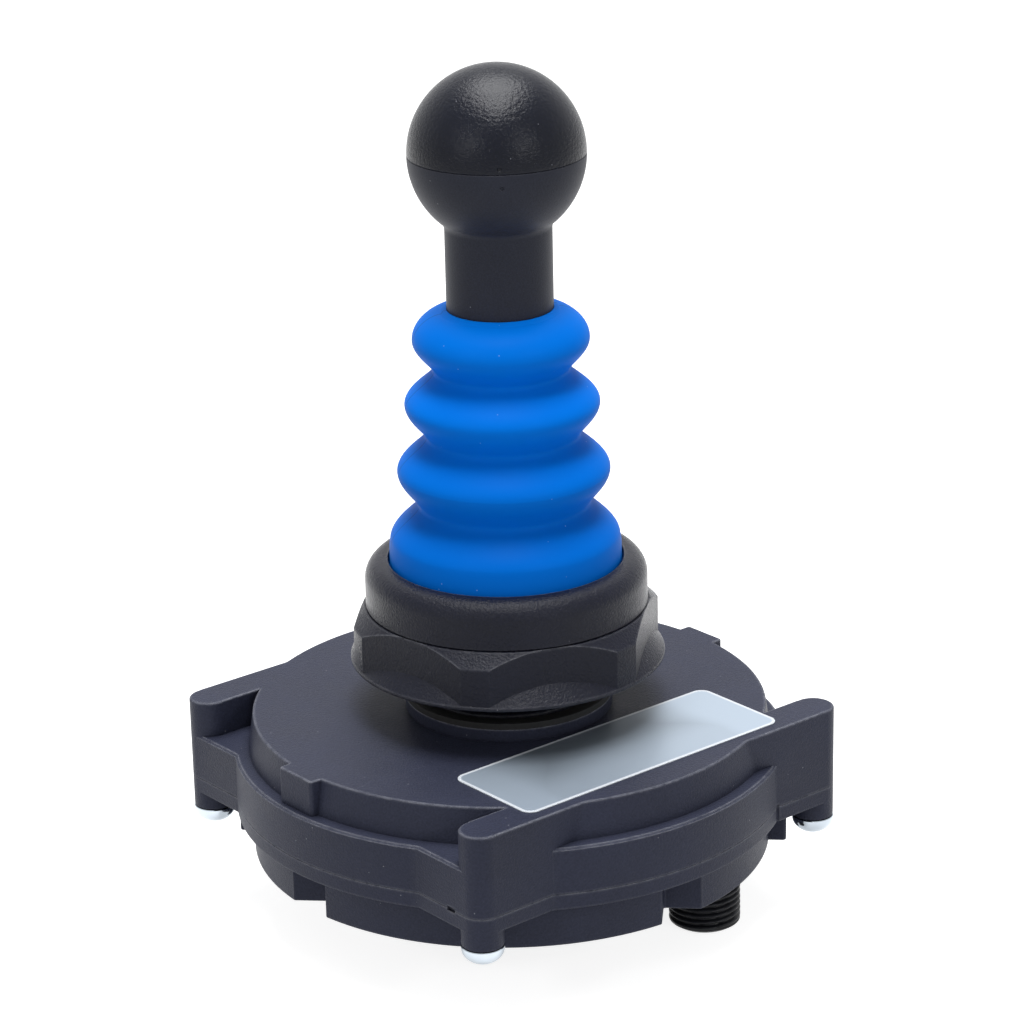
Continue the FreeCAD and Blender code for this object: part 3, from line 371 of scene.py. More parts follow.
def combined(base, operation, tools):
    """Joins the tools to the base or cuts them from it, and removes them."""
    for tool in tools:
        step = base.modifiers.new(operation.lower(), "BOOLEAN")
        step.operation = operation
        step.solver = "EXACT"
        step.object = tool
    graph = bpy.context.evaluated_depsgraph_get()
    shape = bpy.data.meshes.new_from_object(base.evaluated_get(graph))
    base.modifiers.clear()
    base.data = shape
    for tool in tools:
        bpy.data.objects.remove(tool)
    return base


def dressed(piece, material, sharp=32.0, weighted=True):
    """Smooth faces up to an angle, and one material."""
    piece.data.shade_smooth()
    piece.data.set_sharp_from_angle(angle=math.radians(sharp))
    if weighted:
        even = piece.modifiers.new("even_normals", "WEIGHTED_NORMAL")
        even.keep_sharp = True
    piece.data.materials.clear()
    piece.data.materials.append(material)
    return piece


def seated(piece, body, slot, *nodes):
    """Sets a piece on its body in the place of the frame's nodes."""
    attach(piece, body)
    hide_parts(*nodes)
    return piece


# Shader node groups and materials

def new_group(name, inputs, outputs):
    tree = bpy.data.node_groups.new(name, "ShaderNodeTree")
    for label, kind, value in inputs:
        socket = tree.interface.new_socket(label, in_out="INPUT", socket_type=kind)
        if value is not None:
            socket.default_value = value
    for label, kind in outputs:
        tree.interface.new_socket(label, in_out="OUTPUT", socket_type=kind)
    return tree, tree.nodes.new("NodeGroupInput"), tree.nodes.new("NodeGroupOutput")


def feed(tree, made, inputs):
    """Gives a node its inputs by label, or by place as in i0, each a value or another node's output."""
    for label, value in inputs.items():
        by_place = label[0] == "i" and label[1:].isdigit()
        socket = made.inputs[int(label[1:]) if by_place else label.replace("_", " ")]
        if isinstance(value, bpy.types.NodeSocket):
            tree.links.new(value, socket)
        else:
            socket.default_value = value
    return made


def add_node(tree, kind, settings=None, **inputs):
    made = tree.nodes.new(kind)
    for label, value in (settings or {}).items():
        setattr(made, label, value)
    return feed(tree, made, inputs)


def maths(tree, operation, first, second=0.0, third=0.0):
    made = add_node(tree, "ShaderNodeMath", {"operation": operation}, i0=first, i1=second, i2=third)
    return made.outputs[0]


def scaled(tree, vector, factors):
    """A vector with each of its parts multiplied by a factor."""
    made = add_node(tree, "ShaderNodeVectorMath", {"operation": "MULTIPLY"}, i0=vector, i1=factors)
    return made.outputs[0]


def parted(tree, vector):
    """The three parts of a vector."""
    return add_node(tree, "ShaderNodeSeparateXYZ", None, Vector=vector).outputs


def spread_over(tree, value, low, high, **given):
    """A value from 0 to 1, or between given limits, carried over to low and high."""
    made = add_node(tree, "ShaderNodeMapRange", None, Value=value, To_Min=low, To_Max=high, **given)
    return made.outputs["Result"]


def ramped(tree, value, low, high):
    """0 below low and 1 above high, smooth between."""
    made = add_node(tree, "ShaderNodeMapRange", {"interpolation_type": "SMOOTHSTEP"}, Value=value,
                    From_Min=low, From_Max=high)
    return made.outputs["Result"]


def noise(tree, vector, scale, detail=2.0, roughness=0.5):
    made = add_node(tree, "ShaderNodeTexNoise", None, Vector=vector, Scale=scale, Detail=detail,
                    Roughness=roughness)
    return made.outputs["Fac"]


def tinted(tree, factor, first, second):
    """Two colours mixed by a factor."""
    made = add_node(tree, "ShaderNodeMix", {"data_type": "RGBA"}, i0=factor, i6=first, i7=second)
    return made.outputs[2]


def grain_group():
    """Height of a moulded grain, broad unevenness, and a mask of fine dust."""
    tree, given, out = new_group(
        "moulded_grain",
        [("Vector", "NodeSocketVector", None), ("Grain Scale", "NodeSocketFloat", 3000.0),
         ("Mottle Scale", "NodeSocketFloat", 60.0), ("Dust Scale", "NodeSocketFloat", 330.0)],
        [("Height", "NodeSocketFloat"), ("Mottle", "NodeSocketFloat"), ("Dust", "NodeSocketFloat")])
    place = given.outputs["Vector"]
    fine = noise(tree, place, given.outputs["Grain Scale"], 3.0, 0.6)
    broad = noise(tree, place, given.outputs["Mottle Scale"], 3.0, 0.55)
    cells = add_node(tree, "ShaderNodeTexVoronoi", None, Vector=place, Scale=given.outputs["Dust Scale"])
    dust = ramped(tree, cells.outputs["Distance"], 0.045, 0.02)
    for label, value in (("Height", fine), ("Mottle", broad), ("Dust", dust)):
        tree.links.new(value, out.inputs[label])
    return tree


def wear_glint_and_shade_group():
    """A mask of outer edges for wear and a painted highlight, stronger where they face up and broken up by
    noise, and one of hollows for painted shade.
    """
    tree, given, out = new_group(
        "edge_wear_glint_and_hollow_shade",
        [("Vector", "NodeSocketVector", None), ("Reach", "NodeSocketFloat", 0.00045),
         ("Low", "NodeSocketFloat", 0.10), ("High", "NodeSocketFloat", 0.34),
         ("Depth", "NodeSocketFloat", 0.0016)],
        [("Mask", "NodeSocketFloat"), ("Crease", "NodeSocketFloat")])
    inside = add_node(tree, "ShaderNodeAmbientOcclusion",
                      {"samples": 4, "inside": True, "only_local": True}, Distance=given.outputs["Reach"])
    hollow = add_node(tree, "ShaderNodeAmbientOcclusion", {"samples": 3}, Distance=given.outputs["Depth"])
    thin = maths(tree, "SUBTRACT", 1.0, inside.outputs["AO"])
    edge = ramped(tree, thin, given.outputs["Low"], given.outputs["High"])
    facing = parted(tree, add_node(tree, "ShaderNodeNewGeometry").outputs["Normal"])
    # Painted highlight: edges that face up, towards the overhead lamp, are lit more.
    lifted = spread_over(tree, facing["Z"], 0.10, 1.0, From_Min=-0.1, From_Max=0.6)
    broken = ramped(tree, noise(tree, given.outputs["Vector"], 700.0, 3.0, 0.6), 0.25, 0.6)
    shown = maths(tree, "MULTIPLY_ADD", broken, 0.7, 0.3)
    masked = maths(tree, "MULTIPLY", maths(tree, "MULTIPLY", edge, lifted), shown)
    tree.links.new(masked, out.inputs["Mask"])
    # Painted shade: ambient occlusion darkens hollows and creases.
    tree.links.new(ramped(tree, hollow.outputs["AO"], 0.75, 0.25), out.inputs["Crease"])
    return tree


def shared_group(tree, name, **inputs):
    """One of the node groups, built when it is first asked for, with its inputs."""
    makers = {"moulded_grain": grain_group, "edge_wear_glint_and_hollow_shade": wear_glint_and_shade_group}
    made = tree.nodes.new("ShaderNodeGroup")
    made.node_tree = bpy.data.node_groups.get(name) or makers[name]()
    return feed(tree, made, inputs)


def new_material(name):
    """A material with its tree, its shader and the place on the piece."""
    made = bpy.data.materials.new(f"{name}_finish")
    made.use_nodes = True
    tree = made.node_tree
    shader = tree.nodes["Principled BSDF"]
    place = tree.nodes.new("ShaderNodeTexCoord").outputs["Object"]
    return made, tree, shader, place


def surfaced(tree, shader, shade, gloss, smooth, rough, relief, depth):
    """Gives a shader its colour, a roughness that follows a mask, and a fine relief."""
    bump = add_node(tree, "ShaderNodeBump", None, Height=relief, Distance=depth)
    feed(tree, shader, {"Base_Color": shade, "Roughness": spread_over(tree, gloss, smooth, rough),
                        "Normal": bump.outputs["Normal"]})


def rgba(value, factor=1.0):
    return (*[channel * factor for channel in value], 1.0)


def lighter(value, amount):
    """A colour mixed with a cool light grey."""
    return (*[channel + (grey - channel) * amount for channel, grey in zip(value, DUST_WEAR_AND_GLINT_GREY)], 1.0)


def moulded(name, base, roughness, grain_scale=3000.0, depth=0.00002, wear_and_glint=0.1, dust=0.3,
            specular=0.5, coat=0.0, spread=0.12):
    """A moulded plastic: grain, broad unevenness, dust, worn edges with a painted highlight, and painted
    shade in hollows.
    """
    made, tree, shader, place = new_material(name)
    surface = shared_group(tree, "moulded_grain", Vector=place, Grain_Scale=grain_scale).outputs
    wear_glint_and_hollow_shade = shared_group(tree, "edge_wear_glint_and_hollow_shade", Vector=place).outputs
    shade = maths(tree, "MULTIPLY_ADD", surface["Height"], 0.6,
                  maths(tree, "MULTIPLY", surface["Mottle"], 0.4))
    shown = tinted(tree, shade, rgba(base, 0.3), rgba(base, 1.7))
    # Dust is the plastic's own; the light edges are partly wear and partly a painted highlight; the hollows
    # get painted shade.
    for mask, strength, over in ((surface["Dust"], dust, lighter(base, 0.8)),
                                 (wear_glint_and_hollow_shade["Mask"], wear_and_glint, lighter(base, 0.55)),
                                 (wear_glint_and_hollow_shade["Crease"], 0.75, rgba(base, 0.2))):
        shown = tinted(tree, maths(tree, "MULTIPLY", mask, strength), shown, over)
    surfaced(tree, shader, shown, surface["Mottle"], roughness - spread, roughness + spread,
             surface["Height"], depth)
    feed(tree, shader, {"Specular_IOR_Level": specular})
    if coat:
        feed(tree, shader, {"Coat_Weight": coat, "Coat_Roughness": 0.3})
    return made


def metal(name, base, roughness, scratch_scale=(900.0, 900.0, 60.0), depth=0.000004):
    """A metal with fine marks along one direction and uneven gloss."""
    made, tree, shader, place = new_material(name)
    marks = noise(tree, scaled(tree, place, scratch_scale), 1.0, 3.0, 0.6)
    broad = noise(tree, place, 160.0, 2.0)
    shade = tinted(tree, broad, rgba(base, 0.55), rgba(base, 1.3))
    surfaced(tree, shader, shade, broad, roughness * 0.7, roughness * 1.3, marks, depth)
    feed(tree, shader, {"Metallic": 1.0})
    return made


def bellows_rubber(name, base, line_turn):
    """Smooth blue rubber with painted shade near its foot, stray dust and the mould's line up two sides."""
    made, tree, shader, place = new_material(name)
    surface = shared_group(tree, "moulded_grain", Vector=place, Grain_Scale=1400.0,
                           Mottle_Scale=45.0).outputs
    light = (base[0], base[1] * 1.08, base[2] * 1.04, 1.0)
    uneven = tinted(tree, surface["Mottle"], rgba(base, 0.92), light)
    parts = parted(tree, place)
    # Painted shade, darker towards the foot.
    shaded_foot = tinted(tree, ramped(tree, parts["Z"], 0.058, 0.024), uneven, rgba(base, 0.8))
    apart = maths(tree, "ADD", maths(tree, "MULTIPLY", parts["X"], math.sin(line_turn)),
                  maths(tree, "MULTIPLY", parts["Y"], -math.cos(line_turn)))
    line = ramped(tree, maths(tree, "ABSOLUTE", apart), 0.00022, 0.00006)
    lined = tinted(tree, maths(tree, "MULTIPLY", line, 0.6), shaded_foot, rgba(base, 0.35))
    dusty = tinted(tree, maths(tree, "MULTIPLY", surface["Dust"], 0.4), lined, (0.45, 0.6, 0.85, 1))
    surfaced(tree, shader, dusty, surface["Mottle"], 0.42, 0.56, surface["Height"], 0.000006)
    feed(tree, shader, {"Specular_IOR_Level": 0.03})
    return made


def border_mask(tree, parts, sizes):
    """1 in the border inside the edge of the label's rounded rectangle."""
    half_length, half_width, corner = sizes.length / 2, sizes.width / 2, sizes.corner
    aside = maths(tree, "ABSOLUTE", parts["X"])
    across = maths(tree, "SUBTRACT", aside, half_length - corner)
    ahead = maths(tree, "ABSOLUTE", maths(tree, "SUBTRACT", parts["Y"], sizes.middle))
    along = maths(tree, "SUBTRACT", ahead, half_width - corner)
    outside = add_node(tree, "ShaderNodeCombineXYZ", None, X=maths(tree, "MAXIMUM", across, 0.0),
                       Y=maths(tree, "MAXIMUM", along, 0.0))
    reach = add_node(tree, "ShaderNodeVectorMath", {"operation": "LENGTH"}, i0=outside.outputs[0])
    inner = maths(tree, "MINIMUM", maths(tree, "MAXIMUM", across, along), 0.0)
    distance = maths(tree, "SUBTRACT", maths(tree, "ADD", reach.outputs["Value"], inner), corner)
    return ramped(tree, distance, -sizes.border * 1.1, -sizes.border * 0.9)


def label_foil(name, base, border, sizes):
    """Silver foil with a painted reflection, a dark arch at its inner edge lightening towards its ends and
    front, and a pale border inside its own edge.
    """
    made, tree, shader, place = new_material(name)
    parts = parted(tree, place)
    # Painted reflection: darker in the middle by the inner edge, lighter towards both ends and the front
    # edge.
    wander = maths(tree, "MULTIPLY_ADD", noise(tree, place, 50.0, 1.0), 0.008, -0.004)
    aside = maths(tree, "ABSOLUTE", maths(tree, "ADD", parts["X"], 0.001))
    ends = ramped(tree, maths(tree, "ADD", aside, wander), 0.010, 0.021)
    front = ramped(tree, maths(tree, "ADD", parts["Y"], wander), -0.021, -0.034)
    light = maths(tree, "MAXIMUM", ends, maths(tree, "MULTIPLY", front, 0.8))
    foil_with_painted_reflection = tinted(tree, light, rgba(base, 0.66), rgba(base, 1.3))
    brushed = noise(tree, scaled(tree, place, (300.0, 6000.0, 1.0)), 1.0, 2.0)
    rim = border_mask(tree, parts, sizes)
    surfaced(tree, shader, tinted(tree, rim, foil_with_painted_reflection, rgba(border)), brushed, 0.3, 0.42, brushed, 0.000003)
    feed(tree, shader, {"Metallic": maths(tree, "MULTIPLY_ADD", rim, -0.55, 0.55)})
    return made


def finish(slot):
    """The finish of a slot, built when it is first asked for."""
    scene = bpy.context.scene
    colours = scene.joystick_colours
    makers = {
        "housing_plastic": lambda: moulded(slot, colours.housing, 0.44, depth=0.00012, wear_and_glint=0.95, dust=0.5,
                                           specular=0.11),
        "black_plastic": lambda: moulded(slot, colours.clamp, 0.27, grain_scale=2400.0, depth=0.00016,
                                         wear_and_glint=0.6, dust=0.4, specular=0.15),
        "knob_gloss": lambda: moulded(slot, colours.cap, 0.24, grain_scale=1900.0, depth=0.00012,
                                      specular=0.19, spread=0.05),
        "knob_matte": lambda: moulded(slot, colours.stem, 0.46, grain_scale=3600.0, depth=0.00003,
                                      specular=0.12, spread=0.05),
        "bellows_rubber": lambda: bellows_rubber(slot, colours.bellows, scene.joystick_bellows.line_turn),
        "label_foil": lambda: label_foil(slot, colours.label, colours.border, scene.joystick_label),
        "screw_steel": lambda: metal(slot, (0.54, 0.60, 0.66), 0.14),
        "steel": lambda: metal(slot, (0.55, 0.55, 0.56), 0.3),
        "brass": lambda: metal(slot, (0.72, 0.55, 0.25), 0.28),
        "contact_gold": lambda: metal(slot, (0.83, 0.62, 0.25), 0.18),
        "connector_plastic": lambda: moulded(slot, (0.008, 0.009, 0.012), 0.3, grain_scale=2000.0,
                                             depth=0.00001, wear_and_glint=0.15, dust=0.2, specular=0.2),
        "seal_rubber": lambda: moulded(slot, (0.012, 0.012, 0.012), 0.62, grain_scale=1800.0, specular=0.3),
        "natural_plastic": lambda: moulded(slot, (0.72, 0.70, 0.63), 0.5, dust=0.0),
        "switch_plastic": lambda: moulded(slot, (0.03, 0.03, 0.03), 0.45, wear_and_glint=0.3, dust=0.2),
        "board_laminate": lambda: moulded(slot, (0.02, 0.16, 0.06), 0.35, grain_scale=900.0, wear_and_glint=0.2,
                                          dust=0.1, coat=0.6),
        "wire_sleeve": lambda: moulded(slot, (0.25, 0.25, 0.27), 0.55, dust=0.1),
    }
    return bpy.data.materials.get(f"{slot}_finish") or makers[slot]()


# Outlines and cutters that pieces share

def spun(points, degrees):
    """Points turned about the middle."""
    spin = Matrix.Rotation(math.radians(degrees), 2)
    return [tuple(spin @ Vector(point)) for point in points]


def ear_places(sizes):
    offset = sizes.ear_offset
    return [(offset, offset), (-offset, offset), (-offset, -offset), (offset, -offset)]


def rim_outline(sizes):
    """The rim's circle with the rounded square that carries the ears in its corners."""
    face = sizes.ear_offset + sizes.ear_radius
    leaves = math.degrees(math.acos(face / sizes.rim_radius))
    points = []
    for quarter in range(4):
        ear = polar(sizes.ear_offset * math.sqrt(2), 45 + 90 * quarter)
        points += arc((0, 0), sizes.rim_radius, 90 * quarter - leaves, 90 * quarter + leaves, 32)
        points += arc(ear, sizes.ear_radius, 90 * quarter, 90 * quarter + 90, 12)
    return points


def crown_outline(sizes, height):
    """The crown's circle, wider lower down, with the two bars that carry the ears and its side tabs."""
    lower = (sizes.lid_top - height) / (sizes.lid_top - sizes.step)
    crown, corner = sizes.crown_radius + sizes.crown_draft * lower, sizes.bar_corner
    inner = sizes.ear_offset - sizes.ear_radius
    outer = sizes.ear_offset + sizes.ear_radius
    corner_x = math.sqrt((crown + corner) ** 2 - (outer + corner) ** 2)
    leaves = math.degrees(math.atan2(outer + corner, corner_x))
    tab_angle = math.degrees(math.asin(sizes.tab_half_width / crown))
    inner_angle = math.degrees(math.asin(inner / crown))
    tab_round, bar_gap = 0.6 * MM, 0.3 * MM
    bar_end = sizes.ear_offset - bar_gap
    tab = (sizes.tab_reach - tab_round, sizes.tab_half_width - tab_round)
    quarter = arc(tab, tab_round, 0, 90, 3)
    quarter += arc((0, 0), crown, tab_angle, inner_angle, 24)
    quarter += [(bar_end, inner), (bar_end, outer)]
    quarter += arc((corner_x, outer + corner), corner, -90, leaves - 180, 6)
    quarter += arc((0, 0), crown, leaves, 89, 12)[1:]
    half = quarter + [(-x, y) for x, y in reversed(quarter)]
    return half + [(-x, -y) for x, y in half]


def drum_outline(sizes):
    """The base's circle, stepped back in four corners beside the front and rear ears."""
    drum, face, side = sizes.drum_radius, sizes.notch_face, sizes.notch_side
    leaves = math.degrees(math.asin(side / drum))
    returns = math.degrees(math.acos(face / drum))
    notch_round = 0.5 * MM
    near, far = polar(drum, leaves)[0], polar(drum, returns)[1]
    part = arc((0, 0), drum, -leaves, leaves, 40)
    part += softened([(near, side), (face, side, notch_round), (face, far)], steps=3)[1:-1]
    part += arc((0, 0), drum, returns, 180 - returns, 42)
    part += softened([(-face, far), (-face, side, notch_round), (-near, side)], steps=3)[1:-1]
    return spun(part, 45) + spun(part, 225)


def pry_slots(sizes, bottom, top):
    """A slot in the left web of the front ear and a notch beside the right ear, and their opposites."""
    face = sizes.ear_offset + sizes.ear_radius
    corner = math.sqrt(sizes.rim_radius ** 2 - face ** 2)
    mouth_start, mouth_end, end_start, end_end = -33.8 * MM, -31.2 * MM, -33.3 * MM, -31.7 * MM
    beyond, depth = -face - PAST, -face + 0.5 * MM
    slot = [(beyond, mouth_start), (depth, end_start), (depth, end_end), (beyond, mouth_end)]
    notch, notch_radius = (corner + 0.25 * MM, -face - 0.1 * MM), 0.42 * MM
    cutters = []
    for turn in (0, 180):
        cutters.append(prism(f"slot_{turn}", spun(slot, turn), bottom, top))
        centre = spun([notch], turn)[0]
        cutters.append(pin(f"notch_{turn}", centre, notch_radius, bottom - 5 * MM, top, steps=20))
    return cutters


def bead_pocket(clamp):
    """Radius and two heights of the bezel's pocket, which the bellows' bead fills."""
    return clamp.bezel_radius - 1.9 * MM, clamp.nut_top + 2 * MM, clamp.bezel_top - 2.1 * MM


# Operators

class JOYSTICK_OT_stage(bpy.types.Operator):
    """Sets the camera, the pale floor, the white world and the soft lamps"""
    bl_idname = "joystick.stage"
    bl_label = "Stage"

    def execute(self, context):
        scene = context.scene
        stage = scene.joystick_stage
        turn, drop, roll = stage.heading, stage.drop, stage.roll
        ahead = Vector((math.sin(turn) * math.cos(drop), math.cos(turn) * math.cos(drop), -math.sin(drop)))
        level_right = Vector((math.cos(turn), -math.sin(turn), 0))
        level_up = level_right.cross(ahead)
        right = level_right * math.cos(roll) + level_up * math.sin(roll)
        up = level_up * math.cos(roll) - level_right * math.sin(roll)
        camera = bpy.data.objects.new("camera", bpy.data.cameras.new("camera"))
        film_width = 36
        camera.data.sensor_width = film_width
        camera.data.lens = stage.focal_pixels / stage.frame_pixels * film_width
        camera.data.clip_start = 0.01
        facing = Matrix((right, up, -ahead)).transposed().to_4x4()
        camera.matrix_world = Matrix.Translation(stage.eye) @ facing
        scene.collection.objects.link(camera)
        scene.camera = camera
        scene.view_settings.view_transform = "Standard"

        for name, (x, y, z), distance, size, power in (
                ("overhead", (-0.02, 0.97, 0.18), 0.62, 0.46, 5.9),
                ("front", (0.0, 0.80, 0.60), 0.75, 0.16, 2.0),
                ("left", (-0.55, 0.18, 0.80), 0.95, 0.15, 1.1),
                ("right", (0.55, 0.16, 0.82), 0.95, 0.15, 1.1)):
            away = (right * x + up * y - ahead * z).normalized()
            self.add_lamp(scene, name, away, distance, size, power)
        self.add_world(scene)
        self.add_floor(scene)
        return {"FINISHED"}

    def add_lamp(self, scene, name, away, distance, size, power):
        """A square lamp in one direction from the piece's middle, facing it."""
        target = Vector((0, 0, 0.03))
        lamp = bpy.data.lights.new(name, "AREA")
        lamp.shape = "SQUARE"
        lamp.size = size
        lamp.energy = power
        holder = bpy.data.objects.new(name, lamp)
        holder.location = target + away * distance
        holder.rotation_mode = "QUATERNION"
        holder.rotation_quaternion = away.to_track_quat("Z", "Y")
        scene.collection.objects.link(holder)

    def seen(self, tree):
        """1 for rays from the camera, from a gloss or through glass."""
        path = tree.nodes.new("ShaderNodeLightPath")
        first = maths(tree, "MAXIMUM", path.outputs["Is Camera Ray"], path.outputs["Is Glossy Ray"])
        return maths(tree, "MAXIMUM", first, path.outputs["Is Transmission Ray"])

    def add_world(self, scene):
        world = bpy.data.worlds.new("studio")
        scene.world = world
        world.use_nodes = True
        tree = world.node_tree
        sky = tree.nodes["Background"]
        sky.inputs["Color"].default_value = (1, 1, 1, 1)
        tree.links.new(maths(tree, "MULTIPLY_ADD", self.seen(tree), 0.6, 0.4), sky.inputs["Strength"])

    def add_floor(self, scene):
        half = scene.joystick_stage.floor_size / 2
        low = scene.joystick_connector.mouth
        form = bmesh.new()
        corners = [(-half, -half, low), (half, -half, low), (half, half, low), (-half, half, low)]
        form.faces.new([form.verts.new(corner) for corner in corners])
        floor = mesh_object("floor", form)
        made = bpy.data.materials.new("floor_white")
        made.use_nodes = True
        tree = made.node_tree
        tree.nodes.remove(tree.nodes["Principled BSDF"])
        matt = add_node(tree, "ShaderNodeBsdfDiffuse", None, Color=(0.5, 0.5, 0.5, 1))
        glow = add_node(tree, "ShaderNodeEmission", None, Color=(1, 1, 1, 1))
        tree.links.new(maths(tree, "MULTIPLY", self.seen(tree), 0.85), glow.inputs["Strength"])
        both = add_node(tree, "ShaderNodeAddShader", None, i0=matt.outputs[0], i1=glow.outputs[0])
        tree.links.new(both.outputs[0], tree.nodes["Material Output"].inputs["Surface"])
        floor.data.materials.append(made)


class JOYSTICK_OT_lid(bpy.types.Operator):
    """Builds the lid: rim, crown, bars, ears, tabs and collar over a hollow inside"""
    bl_idname = "joystick.lid"
    bl_label = "Lid"

    def execute(self, context):
        sizes = context.scene.joystick_housing
        clamp = context.scene.joystick_clamp
        edge, seam = sizes.edge_round, sizes.seam_round
        lid = prism("housing_lid", rim_outline(sizes), sizes.parting, sizes.step, seam, edge, steps=1)
        levels = edge_levels(sizes.step - 3 * MM, sizes.lid_top, 0, edge * 0.75)
        rings = []
        for inset, height in levels:
            outline = inset_outline(crown_outline(sizes, height), inset)
            rings.append([(x, y, height) for x, y in outline])
        crown = skinned("crown", rings)
        ears = [pin(f"ear_{index}", place, sizes.ear_radius + 1.5 * OVERLAP, sizes.parting + OVERLAP,
                    sizes.lid_top - OVERLAP, steps=64, low_round=seam, high_round=edge)
                for index, place in enumerate(ear_places(sizes))]
        collar_round, slot_height = 0.25 * MM, 0.45 * MM
        collar = pin("collar", (0, 0), sizes.collar_radius, sizes.lid_top - PAST, sizes.collar_top,
                     steps=128, high_round=collar_round)
        combined(lid, "UNION", [crown, *ears, collar])
        cavity = pin("cavity", (0, 0), sizes.crown_radius - sizes.wall, sizes.parting - PAST,
                     sizes.lid_under, steps=96)
        hole = pin("hole", (0, 0), clamp.neck_radius, sizes.lid_under - PAST, sizes.collar_top + PAST,
                   steps=128)
        slots = pry_slots(sizes, sizes.parting - PAST, sizes.parting + slot_height)
        combined(lid, "DIFFERENCE", [cavity, hole, *slots])
        dressed(lid, finish("housing_plastic"))
        seated(lid, HOUSING, "housing_plastic", "upper_housing")
        return {"FINISHED"}


class JOYSTICK_OT_base(bpy.types.Operator):
    """Builds the base: flange, bosses, notched drum and lugs over a hollow inside"""
    bl_idname = "joystick.base"
    bl_label = "Base"

    def execute(self, context):
        sizes = context.scene.joystick_housing
        plug = context.scene.joystick_connector
        edge, seam = sizes.edge_round, sizes.seam_round
        base = prism("housing_base", rim_outline(sizes), sizes.flange_under, sizes.parting, edge * 0.6, seam)
        into_flange = sizes.flange_under + PAST
        drum = prism("drum", drum_outline(sizes), sizes.base_bottom, into_flange, edge)
        bosses = [pin(f"boss_{index}", place, sizes.ear_radius + 1.5 * OVERLAP, sizes.boss_bottom,
                      sizes.parting - OVERLAP, steps=64, low_round=edge, high_round=seam)
                  for index, place in enumerate(ear_places(sizes))]
        head_gap, half, turn = 0.9 * MM, 1.5 * MM, 0.5 * MM
        near = sizes.drum_radius - sizes.wall
        reach = sizes.ear_offset * math.sqrt(2) - sizes.screw_head - head_gap
        outline = softened([(near, -half), (reach, -half, turn), (reach, half, turn), (near, half)],
                           steps=3)
        lugs = [prism(f"lug_{quarter}", spun(outline, 45 + 90 * quarter), sizes.base_bottom + 2 * OVERLAP,
                      into_flange, edge * 0.8)
                for quarter in range(4)]
        combined(base, "UNION", [drum, *bosses, *lugs])
        inside = math.hypot(sizes.notch_face, sizes.notch_side) - sizes.wall
        cavity = pin("cavity", (0, 0), inside, sizes.floor_top, sizes.parting + PAST, steps=96)
        centre, plug_room, slot_depth = (plug.place_x, plug.place_y), 7.34 * MM, 0.35 * MM
        room = pin("room", centre, plug_room, sizes.floor_top, sizes.parting + PAST)
        hole = pin("hole", centre, PLUG_HOLE, sizes.base_bottom - PAST, sizes.floor_top + PAST)
        slots = pry_slots(sizes, sizes.parting - slot_depth, sizes.parting + PAST)
        combined(base, "DIFFERENCE", [cavity, room, hole, *slots])
        dressed(base, finish("housing_plastic"))
        seated(base, HOUSING, "housing_plastic", "lower_housing")
        return {"FINISHED"}


class JOYSTICK_OT_screws(bpy.types.Operator):
    """Builds the four housing screws with domed heads and cross recesses"""
    bl_idname = "joystick.screws"
    bl_label = "Housing screws"

    def execute(self, context):
        sizes = context.scene.joystick_housing
        low, seat, radius = sizes.head_bottom, sizes.boss_bottom, sizes.screw_head
        band, edge, shank, tip = seat - 0.45 * MM, 0.1 * MM, 1.5 * MM, sizes.parting + 8.5 * MM
        dome = [(radius * math.sin(angle) * 0.999, band - (band - low) * math.cos(angle))
                for angle in [math.radians(degrees) for degrees in range(8, 89, 8)]]
        profile = [(0, low), *dome, (radius, band), (radius, seat - edge), (radius - edge, seat),
                   (shank, seat), (shank, tip), (0, tip)]
        half, wide, depth = 1.55 * MM, 0.32 * MM, 1.3 * MM
        corners = [(-half, -wide), (half, -wide), (half, wide), (-half, wide)]
        heads = []
        for index, place in enumerate(ear_places(sizes)):
            head = lathe(f"head_{index}", profile, steps=64, centre=place)
            arms = []
            for turn in (20 + 31 * index, 110 + 31 * index):
                outline = [(x + place[0], y + place[1]) for x, y in spun(corners, turn)]
                arms.append(prism(f"arm_{index}_{turn}", outline, low - 0.5 * MM, low + depth))
            heads.append(combined(head, "DIFFERENCE", arms))
        form = bmesh.new()
        for head in heads:
            form.from_mesh(head.data)
            bpy.data.objects.remove(head)
        screws = mesh_object("pan_head_screws", form)
        dressed(screws, finish("screw_steel"), sharp=40)
        seated(screws, HOUSING, "screw_steel", "housing_screws")
        return {"FINISHED"}


